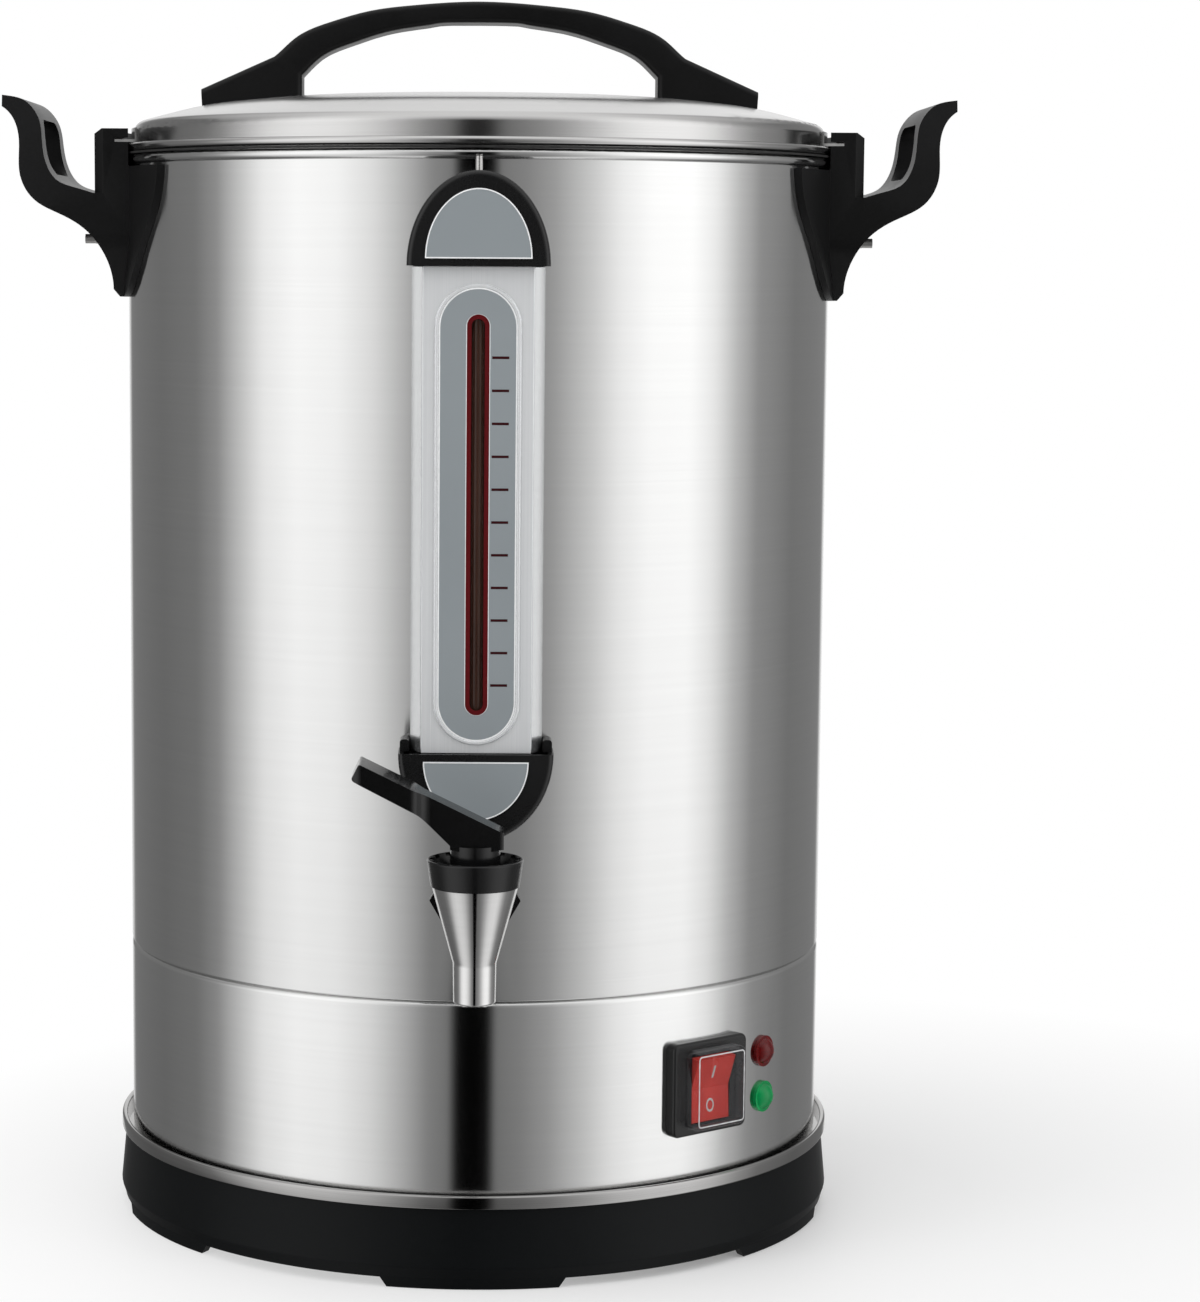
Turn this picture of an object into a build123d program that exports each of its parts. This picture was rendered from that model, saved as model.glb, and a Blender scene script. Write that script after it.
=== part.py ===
from build123d import *
import math
import os

# Electric coffee urn with a draw-off tap, a sight gauge and a percolator insert.
# Millimetres. The origin is on the urn's axis at the surface it stands on.
# +Z is up, the tap and the gauge face -Y, and +X is to the right of someone facing the tap.

# ---------------------------------------------------------------- driving dimensions

# Shell: base, trim ring, skirt, tank
body_radius = 150.0          # outside of the skirt and the tank
sheet = 0.8                  # stainless sheet of the skirt, tank and lid
seat_gap = 0.05              # between parts that bed on a curved wall
rest_gap = 0.25              # between a loose part and what it rests on
base_height = 33.0
base_wall = 2.6
base_margin = 2.9            # how far the base's top stands out beyond the skirt
base_flare = 2.3             # how much wider the base is low down than at its top
foot_height = 4.4            # height of the straight band at the bottom of the base
foot_step = 1.5              # inward step above the feet
foot_count = 6
foot_arc = 27.0              # degrees of arc under each foot
arch_height = 3.8
arch_slope = 3.4             # horizontal run of an arch's slanted ends
ledge_z = 10.2               # underside of the ledge that the bottom cover meets
ledge_lap = 5.0              # how far the ledge reaches in under the cover's edge
cover_thickness = 1.2
cover_gap = 9.3              # between the cover's edge and the base's wall
vent_slot = (24.0, 4.0)      # length and width of the cover's vents
vent_inset = 73.0            # from the cover's edge to the middle of its vents
ring_flange = 1.0            # flange of the trim ring, between base and skirt
ring_stand = 4.9             # how far the ring's bead stands out beyond the skirt
ring_wall = 2.3
ring_rise = 4.5              # height of the ring's bead above its flange
skirt_height = 82.5
skirt_shoulder = 2.5
seam_lap = 4.5               # width of the skirt's top flange
tank_wall_height = 334.1     # from the seam to the centre of the rim bead
tank_collar = 10.0           # depth of the tank's collar inside the skirt
collar_fit = 0.2
tank_edge_radius = 0.8
floor_rise = 7.5             # from the seam to the underside of the tank's floor
floor_thickness = 1.2
rim_bead_radius = 2.1

# Tie rods that clamp the base, skirt and tank together
rod_count = 3
rod_radius = 2.5
rod_circle_radius = 100.0
rod_below_cover = 4.8
rod_nut_flats = 8.0
rod_nut_height = 4.0

# Heater under the tank
heater_plate_radius = 70.0
heater_plate_thickness = 6.0
element_ring_radius = 55.0
element_tube_radius = 4.0
element_arc = 320.0
element_end_length = 14.0
thermostat_radius = 12.0
thermostat_height = 8.0
cutout_radius = 8.0
cutout_offset = 32.0
terminal_size = (40.0, 20.0, 14.0)
terminal_offset = 60.0

# Power inlet at the back
inlet_z = 72.0
inlet_flange = (50.0, 26.0)
inlet_stand = 4.0            # how far the flange's face stands out from the skirt
inlet_body = (27.0, 20.0)
inlet_body_depth = 26.0
inlet_recess = (24.0, 16.5)
inlet_recess_depth = 16.5
inlet_corner = 4.5
inlet_screw_spacing = 40.0
inlet_screw_radius = 1.5
inlet_screw_head_radius = 3.0
pin_size = (2.0, 4.0)
pin_length = 15.0
pin_pitch = 7.0

# Switch and lamps on the skirt
switch_angle = 39.0          # degrees from the front towards +X
switch_z = 75.7
bezel_size = (40.0, 38.8)
bezel_stand = 3.6            # how far the bezel's face stands out from the skirt
bezel_corner = 3.0
switch_body = (27.0, 33.0)
switch_body_depth = 26.0
window_size = (21.0, 29.2)
window_depth = 12.0
rocker_size = (20.4, 26.8)
rocker_set = 5.4             # how far the rocker's pivot lies behind the bezel's face
rocker_throw = 16.0          # degrees from one side pressed to the other
rocker_proud = 1.8           # how far the rocker's ends stand out of the bezel, midway in its throw
rocker_dish = 2.4            # how far its middle lies behind its ends
rocker_end = 4.5             # thickness of its ends
rocker_back = 3.2            # from its pivot to its back
trunnion_radius = 1.6
running_gap = 0.06
boot_size = (28.0, 32.4)
boot_rise = 6.6
boot_wall = 1.0
lamp_angle = 53.0
lamp_heights = {"lamp_red": 83.8, "lamp_green": 64.6}
lamp_flange_radius = 6.5
lamp_flange = 1.4
lamp_dome_radius = 5.4
lamp_dome_rise = 3.4
lamp_body_radius = 4.6
lamp_body_depth = 18.0

# Tap
tap_reach = 50.0             # from the tank's wall to the tap's vertical axis
shank_z = 159.0
shank_radius = 7.5
shank_bore = 4.5
shank_inside = 14.0          # length of the shank inside the tank
cone_top_z = 172.6
cone_bottom_z = 142.7
cone_top_radius = 16.6
cone_bottom_radius = 8.4
outlet_z = 127.5
outlet_radius = 8.2
outlet_bore = 5.6
tap_wall = 2.0
valve_seat_z = 152.0
neck_radius = 14.2
neck_bore = 11.8
neck_height = 2.8
bonnet_bottom_radius = 17.1
bonnet_top_radius = 18.6
bonnet_height = 10.4
bonnet_dish_depth = 4.8
bonnet_ceiling = 2.4
bonnet_dish_radius = 15.2
bonnet_notch = (3.4, 2.6, 1.1)  # width, radial length and depth
bonnet_notches = 14
stem_radius = 3.2
stem_top_z = 190.2
pivot_z = 186.8
cross_pin_radius = 1.4
cup_rise = 9.2
cup_bottom_radius = 7.4
cup_top_radius = 9.3
spring_radius = 6.4
spring_wire = 0.7
spring_turns = 4.0
thrust_washer = (3.4, 8.4, 1.1)   # bore radius, outer radius, thickness
lever_angle = 26.0           # slope of the lever above the horizontal
lever_tip_x = -47.2
lever_tip_z = 214.6
lever_tip_thickness = 7.0
lever_collar_radius = 9.6
lever_head_x = 10.8          # right-hand end of the lever's head
lever_width = 15.0
pad_width = 23.0
pad_length = 25.0
pad_corner = 4.0
lever_press = 25.0           # degrees that the lever is pressed down
lock_nut_corner = 18.0       # corner radius of the nut outside the tank
lock_nut_height = 5.5
tank_nut_corner = 13.5
tank_nut_height = 6.0
tap_washer_radius = 14.0
tap_washer_thickness = 2.4

# Sight gauge
housing_half_width = 25.9    # at the tank
housing_face_half_width = 21.6
housing_depth = 13.0         # from the tank's wall to the housing's face
housing_wall = 1.3
housing_bottom_z = 218.3
housing_top_z = 407.4
slot_half_width = 4.05
slot_bottom_z = 233.9
slot_top_z = 388.5
ridge_half_width = 16.6
ridge_width = 1.3
ridge_rise = 0.7
ridge_bottom_z = 221.8
ridge_top_z = 400.6
plate_rise = 0.4
glass_radius = 4.2
glass_bore = 3.0
glass_reach = 7.2            # from the tank's wall to the glass's axis
glass_bottom_z = 196.0
glass_top_z = 424.0
gauge_seal_wall = 1.1
gauge_seal_height = 9.0
cap_depth = 16.0
cap_wall = 2.0
cap_round = 2.2
top_cap_half_width = 27.8
top_cap_height = 36.5
bottom_cap_half_width = 30.4
bottom_cap_height = 34.8
cap_lug = (3.7, 4.8, 8.5)    # width, height and set-back of the lugs beside the housing
insert_half_width = 20.6
insert_margin = 2.8          # between an insert's straight edge and its cap's
top_insert_height = 26.8
bottom_insert_height = 23.0
insert_thickness = 0.6
elbow_z = 193.0
elbow_radius = 4.0
elbow_bore = 2.2
elbow_cup_radius = 6.6
gauge_nut_flats = 12.0
gauge_nut_height = 4.0
vent_radius = 1.3
vent_top_z = 449.5

# Side handles
handle_half_width = 44.0     # of the block on the tank
post_chamfer = (4.0, 3.5, 2.2)  # on the outer corners, then across and down on the top edge
handle_foot_half_width = 26.0
handle_drop = 57.3           # from the tank's rim bead down to the handle's lowest edge
handle_shoulder = 22.7       # from that edge up to where the block is full width
handle_shoulder_round = 12.0
grip_reach = 50.1            # from the tank's wall to the grip's lip
grip_half_width = 40.0
grip_lip_half_width = 34.0
handle_corner = 9.0
post_reach = 10.8            # from the tank's wall to the outside of the post
hook_height = 3.85           # thickness of the hook over the lid's ear
rim_clearance = 2.8          # from the tank's wall to the post's inside, past the two beads
saddle_thickness = 2.8
saddle_gap = 0.9             # between the saddle's top edge and the tank's bead
saddle_half_width = 78.0
finger_slot_half_length = 26.0
finger_slot_drop = 6.1       # from the rim bead's centre down to the slot
finger_slot_height = 23.0
finger_slot_corner = 8.0
handle_bolt_rise = 24.3      # from the handle's lowest edge to its bolts
handle_bolt_spread = 20.0
handle_bolt_radius = 2.0
handle_bolt_length = 17.0    # outside the tank
bolt_head_radius = 4.0
bolt_head_height = 2.2
bolt_hole_gap = 0.1
handle_nut_flats = 7.0
handle_nut_height = 3.2
handle_nut_reach = 6.6       # from the tank's wall to the nut's seat
nut_pocket_radius = 4.6

# Lid
seal_thickness = 0.8
seal_width = 3.4
lid_bead_radius = 1.7
lid_fit = 1.7                # between the lid's locating rim and the tank
lid_rim_depth = 8.0          # locating rim below the lid's bead
lid_shoulder_rise = 10.6     # from the lid's bead to the corner of its shoulder
lid_shoulder_round = 5.0
lid_crown_rise = 23.1        # from the lid's bead to the crown
ear_half_angle = 13.5
ear_reach = 7.5              # from the tank's wall to the ear's tip
ear_sheet = 1.1
ear_tab_height = 6.0
ear_slot_gap = 0.35
lid_handle_height = 39.7     # from the crown to the top of the arch
lid_handle_half_width = 12.3
lid_handle_share = 0.803     # of the lid's radius, out to the tips of the handle's feet
lid_foot_share = 0.5125      # of the lid's radius, in to the feet's inner ends
lid_screw_inset = 8.4        # from a foot's inner end to its screw
lid_handle_round = 2.4
lid_screw_radius = 2.0
lid_screw_head_radius = 4.2
lid_screw_head_height = 2.4
lid_screw_depth = 11.0
lid_boss_radius = 3.0

# Percolator insert
bell_radius = 28.0
bell_height = 22.0
pump_tube_radius = 6.0
pump_wall = 1.0
pump_height = 310.5
basket_seat_rise = 212.0     # of the stem's collar above the tank's floor
basket_collar_radius = 10.0
basket_collar_height = 3.0
basket_radius = 90.0
basket_height = 75.0
basket_wall = 0.9
basket_bead_radius = 1.4
basket_tube_gap = 0.6
basket_hole_radius = 2.2
basket_hole_circles = (0.31, 0.555, 0.8)  # of the basket's radius
spreader_hole_circles = (0.667, 0.867)    # of the basket's radius
spreader_skirt = 5.0

# ---------------------------------------------------------------- radii and levels worked out from them

inner_radius = body_radius - sheet
lap_radius = body_radius - seam_lap
base_top_radius = body_radius + base_margin
ring_outer_radius = body_radius + ring_stand
cover_radius = base_top_radius - base_wall - cover_gap
ledge_inner_radius = cover_radius - ledge_lap
cover_top_z = ledge_z
cover_bottom_z = ledge_z - cover_thickness
flange_top_z = base_height + ring_flange
seam_z = flange_top_z + skirt_height
rim_z = seam_z + tank_wall_height
rim_top_z = rim_z + rim_bead_radius
floor_under_z = seam_z + floor_rise
floor_top_z = floor_under_z + floor_thickness

inlet_front = body_radius + inlet_stand
bezel_front = body_radius + bezel_stand
rocker_pivot = bezel_front - rocker_set
rocker_ridge = bezel_front + rocker_proud
boot_front = bezel_front + boot_rise

tap_y = -body_radius - tap_reach
bonnet_bottom_z = cone_top_z + rest_gap
bonnet_top_z = bonnet_bottom_z + bonnet_height
dish_z = bonnet_top_z - bonnet_dish_depth

housing_front = body_radius + housing_depth
cap_front = body_radius + cap_depth
glass_y = -body_radius - glass_reach

seal_bottom_z = rim_top_z + rest_gap
lid_band_radius = inner_radius - lid_fit
lid_handle_reach = lid_band_radius * lid_handle_share
lid_foot_inner_x = lid_band_radius * lid_foot_share
lid_screw_x = lid_foot_inner_x + lid_screw_inset
lid_bead_z = seal_bottom_z + seal_thickness + rest_gap + lid_bead_radius
lid_shoulder_z = lid_bead_z + lid_shoulder_rise
lid_crown_z = lid_bead_z + lid_crown_rise
lid_handle_top_z = lid_crown_z + lid_handle_height
ear_tip_radius = body_radius + ear_reach
ear_z = lid_bead_z + lid_bead_radius + 0.5

handle_bottom_z = rim_z - handle_drop
handle_bolt_z = handle_bottom_z + handle_bolt_rise
handle_bolt_reach = body_radius + handle_bolt_length
handle_nut_seat = body_radius + handle_nut_reach
post_x = body_radius + post_reach
post_top_z = ear_z + ear_sheet + ear_slot_gap + hook_height
rim_clearance_radius = body_radius + rim_clearance
saddle_top_z = rim_z - rim_bead_radius - saddle_gap
finger_slot_bottom_z = rim_z - finger_slot_drop
finger_slot_top_z = finger_slot_bottom_z + finger_slot_height


# ---------------------------------------------------------------- helpers

def outline(*corners):
    """A closed face through corners given as (x, y) or, rounded, (x, y, radius)."""
    points = [corner[:2] for corner in corners]
    radii = [corner[2] if len(corner) == 3 else 0 for corner in corners]
    return make_face(FilletPolyline(*points, radius=radii, close=True).edges())


def turned(face):
    """Revolve a face drawn as (radius, height) about the urn's axis."""
    return revolve(Plane.XZ * face, Axis.Z)


def tube(outer, inner, bottom, top):
    """An upright round tube on the urn's axis."""
    return turned(outline((inner, bottom), (outer, bottom), (outer, top), (inner, top)))


def rod(radius, bottom, top):
    """An upright round bar on the urn's axis."""
    return Pos(0, 0, bottom) * Cylinder(radius, top - bottom, align=(Align.CENTER, Align.CENTER, Align.MIN))


def lying(radius, start, end):
    """A round bar along Y, from y = start to y = end, through the origin's axis."""
    bar = Cylinder(radius, abs(end - start), align=(Align.CENTER, Align.CENTER, Align.MIN))
    return Pos(0, min(start, end), 0) * Rot(-90, 0, 0) * bar


def facing_x(radius, start, end):
    """A round bar along X, from x = start to x = end, through the origin's axis."""
    bar = Cylinder(radius, abs(end - start), align=(Align.CENTER, Align.CENTER, Align.MIN))
    return Pos(min(start, end), 0, 0) * Rot(0, 90, 0) * bar


def front_slab(face, near, far):
    """Extrude a face drawn as (x, z), from the distance near to the distance far ahead of the axis."""
    return extrude(Plane((0, -near, 0), x_dir=(1, 0, 0), z_dir=(0, -1, 0)) * face, far - near)


def hexagon(flats, height):
    """An upright hexagonal prism from z = 0."""
    return extrude(RegularPolygon(flats / math.sqrt(3), 6), height)


def around(shape, count, start=0.0):
    """Copies of a shape spaced evenly about the urn's axis."""
    return [Rot(0, 0, start + i * 360.0 / count) * shape for i in range(count)]


def group(shapes):
    """Separate solids kept together as one node."""
    return Compound(children=list(shapes))


def upright_stadium(half_width, bottom, top):
    """A face with half-round ends, drawn as (x, z) about x = 0."""
    return Pos(0, (bottom + top) / 2) * SlotOverall(top - bottom, 2 * half_width, rotation=90)


def tank_drum(radius):
    """A round block as tall as the urn, to shape what beds against its wall."""
    return rod(radius, 0, lid_handle_top_z)


# ---------------------------------------------------------------- base and skirt

def make_base():
    """Black moulded foot ring: flared wall, inner ledge and six low feet."""
    low = base_top_radius + base_flare
    foot = low - foot_step
    wall = turned(outline(
        (foot, 0), (foot, foot_height), (low, 2 * foot_height, 2.0), (base_top_radius, base_height),
        (base_top_radius - base_wall, base_height), (foot - base_wall, ledge_z + base_wall),
        (ledge_inner_radius, ledge_z + base_wall), (ledge_inner_radius, ledge_z),
        (foot - base_wall - 2, ledge_z), (foot - base_wall - 2, 0)))
    pitch = 360.0 / foot_count
    inside = ledge_inner_radius * math.cos(math.radians(pitch) / 2)
    half = math.radians(pitch - foot_arc) / 2
    run = foot * math.tan(half)
    arch = extrude(Plane((0, -inside, 0), x_dir=(1, 0, 0), z_dir=(0, -1, 0)) * outline(
        (-run, -1), (run, -1), (run - arch_slope, arch_height), (arch_slope - run, arch_height)),
        low - inside + 5)
    return wall - around(arch, foot_count, pitch / 2)


def make_bottom_cover():
    """Pressed steel plate under the base, with a ring of vent slots."""
    plate = rod(cover_radius, cover_bottom_z, cover_top_z)
    length, width = vent_slot
    vent = extrude(SlotOverall(length, width, rotation=90), cover_thickness)
    vent = Pos(0, cover_radius - vent_inset, cover_bottom_z) * vent
    rod_hole = Pos(0, rod_circle_radius, 0) * rod(rod_radius + bolt_hole_gap, cover_bottom_z, cover_top_z)
    return plate - around(vent, 12, 15) - around(rod_hole, rod_count)


def make_trim_ring():
    """Polished ring whose rounded bead stands clear around the skirt's foot."""
    inner = ring_outer_radius - ring_wall
    top = flange_top_z + ring_rise
    return turned(outline(
        (lap_radius, base_height), (ring_outer_radius, base_height, 0.6), (ring_outer_radius, top, 1.1),
        (inner, top, 1.1), (inner, flange_top_z), (lap_radius, flange_top_z)))


def make_skirt():
    """Lower housing: a thin sheet band with a rolled shoulder under the tank."""
    shell = turned(outline(
        (inner_radius, flange_top_z), (body_radius, flange_top_z), (body_radius, seam_z, skirt_shoulder),
        (lap_radius, seam_z), (lap_radius, seam_z - sheet),
        (inner_radius, seam_z - sheet, skirt_shoulder - sheet)))
    switch_hole = Rot(0, 0, switch_angle) * front_slab(
        Pos(0, switch_z) * Rectangle(switch_body[0] + 0.4, switch_body[1] + 0.4), inner_radius - 12, body_radius + 5)
    lamp_holes = [Rot(0, 0, lamp_angle) * Pos(0, 0, z) * lying(
        lamp_body_radius + bolt_hole_gap, -inner_radius + 12, -body_radius - 5) for z in lamp_heights.values()]
    inlet_hole = Rot(0, 0, 180) * front_slab(
        Pos(0, inlet_z) * Rectangle(inlet_body[0] + 0.4, inlet_body[1] + 0.4), inner_radius - 12, body_radius + 5)
    screw_holes = [Pos(side * inlet_screw_spacing / 2, 0, inlet_z) * lying(
        inlet_screw_radius + bolt_hole_gap, inner_radius - 12, body_radius + 5) for side in (-1, 1)]
    return shell - switch_hole - lamp_holes - inlet_hole - screw_holes


# ---------------------------------------------------------------- tank and what clamps and heats it

def make_tank():
    """Drawn vessel with a rolled rim bead, a welded floor and a collar that drops into the skirt."""
    collar = lap_radius - collar_fit
    wall = outline(
        (collar - sheet, seam_z - tank_collar), (collar, seam_z - tank_collar), (collar, seam_z),
        (body_radius, seam_z, tank_edge_radius), (body_radius, rim_z), (inner_radius, rim_z),
        (inner_radius, seam_z + sheet), (collar - sheet, seam_z + sheet))
    bead = Pos((body_radius + inner_radius) / 2, rim_z) * Circle(rim_bead_radius)
    floor = rod(inner_radius, floor_under_z, floor_top_z)
    shell = turned(wall) + turned(bead) + floor
    tap_hole = Pos(0, 0, shank_z) * lying(shank_radius + bolt_hole_gap, -inner_radius + 12, -body_radius - 5)
    gauge_hole = Pos(0, 0, elbow_z) * lying(elbow_radius + bolt_hole_gap, -inner_radius + 12, -body_radius - 5)
    bolt_holes = [Pos(0, y, handle_bolt_z) * facing_x(
        handle_bolt_radius + bolt_hole_gap, side * (inner_radius - 12), side * (body_radius + 5))
        for side in (-1, 1) for y in (-handle_bolt_spread, handle_bolt_spread)]
    return shell - tap_hole - gauge_hole - bolt_holes


def make_tie_rods():
    """Studs welded under the tank, which reach down through the bottom cover."""
    stud = Pos(0, rod_circle_radius, 0) * rod(rod_radius, cover_bottom_z - rod_below_cover, floor_under_z)
    return group(around(stud, rod_count))


def make_tie_nuts():
    """Nuts under the bottom cover."""
    nut = hexagon(rod_nut_flats, rod_nut_height) - rod(rod_radius, -1, rod_nut_height + 1)
    return group(around(Pos(0, rod_circle_radius, cover_bottom_z - rod_nut_height) * nut, rod_count))


def make_heater_plate():
    """Aluminium plate that spreads the heat over the tank's floor."""
    return rod(heater_plate_radius, floor_under_z - heater_plate_thickness, floor_under_z)


def make_heating_element():
    """Sheathed ring element under the plate, with its two terminal ends turned down."""
    z = floor_under_z - heater_plate_thickness - element_tube_radius
    section = Plane.XZ * Pos(element_ring_radius, 0) * Circle(element_tube_radius)
    ring = Rot(0, 0, -90 - element_arc / 2) * revolve(section, Axis.Z, element_arc)
    gap = math.radians(360 - element_arc) / 2
    across, along = element_ring_radius * math.sin(gap), element_ring_radius * math.cos(gap)
    ends = [Pos(side * across, along, 0) * rod(element_tube_radius * 0.6, -element_end_length, 0)
            for side in (-1, 1)]
    return Pos(0, 0, z) * (ring + ends)


def make_thermostat():
    """Snap-disc thermostat clipped to the middle of the plate."""
    top = floor_under_z - heater_plate_thickness
    body = rod(thermostat_radius, top - thermostat_height, top)
    blade = Box(6.3, 0.8, 9, align=(Align.CENTER, Align.CENTER, Align.MAX))
    return body + [Pos(0, y, top - thermostat_height) * blade for y in (-5, 5)]


def make_thermal_cutout():
    """Boil-dry cut-out beside the thermostat."""
    top = floor_under_z - heater_plate_thickness
    body = rod(cutout_radius, top - thermostat_height, top)
    blade = Box(0.8, 6.3, 9, align=(Align.CENTER, Align.CENTER, Align.MAX))
    return Pos(cutout_offset, 0, 0) * (body + [Pos(x, 0, top - thermostat_height) * blade for x in (-4, 4)])


def make_terminal_block():
    """Three-way terminal block on the bottom cover."""
    length, depth, height = terminal_size
    block = Box(length, depth, height, align=(Align.CENTER, Align.CENTER, Align.MIN))
    well = Cylinder(3, height / 2, align=(Align.CENTER, Align.CENTER, Align.MIN))
    wells = [Pos(i * length / 3, 0, height / 2) * well for i in (-1, 0, 1)]
    return Pos(0, -terminal_offset / 2, cover_top_z) * (block - wells)


# ---------------------------------------------------------------- power inlet

def make_power_inlet():
    """Recessed appliance inlet in the back of the skirt, bedded on its curve."""
    flange = front_slab(RectangleRounded(*inlet_flange, 5), inner_radius - 8, inlet_front)
    flange = flange - Pos(0, 0, -inlet_z) * tank_drum(body_radius + seat_gap)
    body = front_slab(Rectangle(*inlet_body), inlet_front - inlet_body_depth, inlet_front)
    width, height = inlet_recess
    low = -height / 2
    mouth = outline((-width / 2, low), (width / 2, low), (width / 2, -low - inlet_corner),
                    (width / 2 - inlet_corner, -low), (inlet_corner - width / 2, -low),
                    (-width / 2, -low - inlet_corner))
    recess = front_slab(mouth, inlet_front - inlet_recess_depth, inlet_front + 1)
    holes = [Pos(side * inlet_screw_spacing / 2, 0, 0) * lying(
        inlet_screw_radius + bolt_hole_gap, -inner_radius + 12, -inlet_front - 1) for side in (-1, 1)]
    return Rot(0, 0, 180) * Pos(0, 0, inlet_z) * (flange + body - recess - holes)


def make_inlet_pins():
    """Three contact blades standing in the inlet."""
    back = inlet_front - inlet_recess_depth
    blade = front_slab(Rectangle(*pin_size), back, back + pin_length)
    places = [(-pin_pitch, -1.5), (0, 2.5), (pin_pitch, -1.5)]
    return group(Rot(0, 0, 180) * Pos(x, 0, inlet_z + z) * blade for x, z in places)


def make_inlet_screws():
    """Two pan-head screws that hold the inlet."""
    face = -inlet_front
    shank = lying(inlet_screw_radius, face, -inner_radius + 8)
    head = front_slab(Circle(inlet_screw_head_radius), inlet_front, inlet_front + 1.8)
    screw = Rot(0, 0, 180) * (shank + head)
    return group(Pos(side * inlet_screw_spacing / 2, 0, inlet_z) * screw for side in (-1, 1))


# ---------------------------------------------------------------- switch and lamps

def make_switch_frame():
    """Moulded switch housing: bezel bedded on the skirt, body behind it, window for the rocker."""
    bezel = front_slab(RectangleRounded(*bezel_size, bezel_corner), inner_radius - 10, bezel_front)
    bezel = bezel - Pos(0, 0, -switch_z) * tank_drum(body_radius + seat_gap)
    front_edges = bezel.faces().sort_by(Axis.Y)[0].edges()
    bezel = fillet(front_edges, 1.2)
    body = front_slab(Rectangle(*switch_body), bezel_front - switch_body_depth, bezel_front - 1.5)
    window = front_slab(Rectangle(*window_size), bezel_front - window_depth, bezel_front + 1)
    sockets = Pos(0, -rocker_pivot, 0) * facing_x(
        trunnion_radius + running_gap, -window_size[0] / 2 - 1.6, window_size[0] / 2 + 1.6)
    return Rot(0, 0, switch_angle) * Pos(0, 0, switch_z) * (bezel + body - window - sockets)


def make_switch_rocker():
    """Rocker with a dished face, shown with its lower half pressed, on two stub trunnions."""
    width, height = rocker_size
    reach = height / 2
    back = rocker_pivot - rocker_back
    tail = rocker_ridge - rocker_end
    side = make_face(Polyline(
        (back, -reach * 0.45), (tail, -reach), (rocker_ridge, -reach), (rocker_ridge - rocker_dish, 0),
        (rocker_ridge, reach), (tail, reach), (back, reach * 0.45), close=True).edges())
    cross = Plane((0, 0, 0), x_dir=(0, -1, 0), z_dir=(-1, 0, 0))
    paddle = extrude(cross * side, width / 2, both=True)
    pin_reach = window_size[0] / 2 + 1.4
    pins = Pos(0, -rocker_pivot, 0) * facing_x(trunnion_radius, -pin_reach, pin_reach)
    tilt = Pos(0, -rocker_pivot, 0) * Rot(rocker_throw / 2, 0, 0) * Pos(0, rocker_pivot, 0)
    return Rot(0, 0, switch_angle) * Pos(0, 0, switch_z) * tilt * (paddle + pins)


def make_switch_boot():
    """Clear splash boot over the rocker."""
    width, height = boot_size
    outer = front_slab(RectangleRounded(width, height, bezel_corner), bezel_front, boot_front)
    outer = fillet(outer.faces().sort_by(Axis.Y)[0].edges(), 1.6)
    inner = front_slab(RectangleRounded(width - 2 * boot_wall, height - 2 * boot_wall, bezel_corner - boot_wall),
                       bezel_front - 1, boot_front - boot_wall)
    return Rot(0, 0, switch_angle) * Pos(0, 0, switch_z) * (outer - inner)


def make_lamp(z):
    """Domed indicator lamp with a flange on the skirt and a round body behind."""
    dome = Sphere(lamp_sphere_radius())
    dome = Pos(0, -(body_radius + lamp_flange + lamp_dome_rise - lamp_sphere_radius()), 0) * dome
    dome = dome & lying(lamp_dome_radius, -body_radius - lamp_flange + 0.2, -body_radius - 20)
    flange = lying(lamp_flange_radius, -body_radius - lamp_flange, -body_radius + 2)
    flange = flange - Pos(0, 0, -z) * tank_drum(body_radius + seat_gap)
    body = lying(lamp_body_radius, -body_radius - 0.5, -body_radius + lamp_body_depth)
    return Rot(0, 0, lamp_angle) * Pos(0, 0, z) * (flange + body + dome)


def lamp_sphere_radius():
    """Radius of the sphere that a lamp's dome is a cap of."""
    return (lamp_dome_radius ** 2 + lamp_dome_rise ** 2) / (2 * lamp_dome_rise)


# ---------------------------------------------------------------- tap

def cone_radius(z):
    """Outside radius of the tap's cone at a height."""
    share = (z - cone_bottom_z) / (cone_top_z - cone_bottom_z)
    return cone_bottom_radius + share * (cone_top_radius - cone_bottom_radius)


def make_tap_body():
    """Turned and polished body: cone, straight outlet, threaded neck and a shank into the tank."""
    outer = turned(outline(
        (0, outlet_z), (outlet_radius, outlet_z, 0.6), (cone_bottom_radius, cone_bottom_z, 4.0),
        (cone_top_radius, cone_top_z), (neck_radius, cone_top_z), (neck_radius, cone_top_z + neck_height),
        (0, cone_top_z + neck_height)))
    seat_radius = cone_radius(valve_seat_z) - tap_wall
    bore = turned(outline(
        (0, outlet_z - 1), (outlet_bore, outlet_z - 1), (outlet_bore, valve_seat_z),
        (seat_radius, valve_seat_z),
        (neck_bore, valve_seat_z + (neck_bore - seat_radius) / cone_slope()),
        (neck_bore, cone_top_z + neck_height + 1),
        (0, cone_top_z + neck_height + 1)))
    start = -(inner_radius - shank_inside) - tap_y
    shank = Pos(0, 0, shank_z) * lying(shank_radius, 0, start)
    passage = Pos(0, 0, shank_z) * lying(shank_bore, 0, start + 1)
    return Pos(0, tap_y, 0) * ((outer + shank) - bore - passage)


def cone_slope():
    """How fast the tap's cone widens with height."""
    return (cone_top_radius - cone_bottom_radius) / (cone_top_z - cone_bottom_z)


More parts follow.
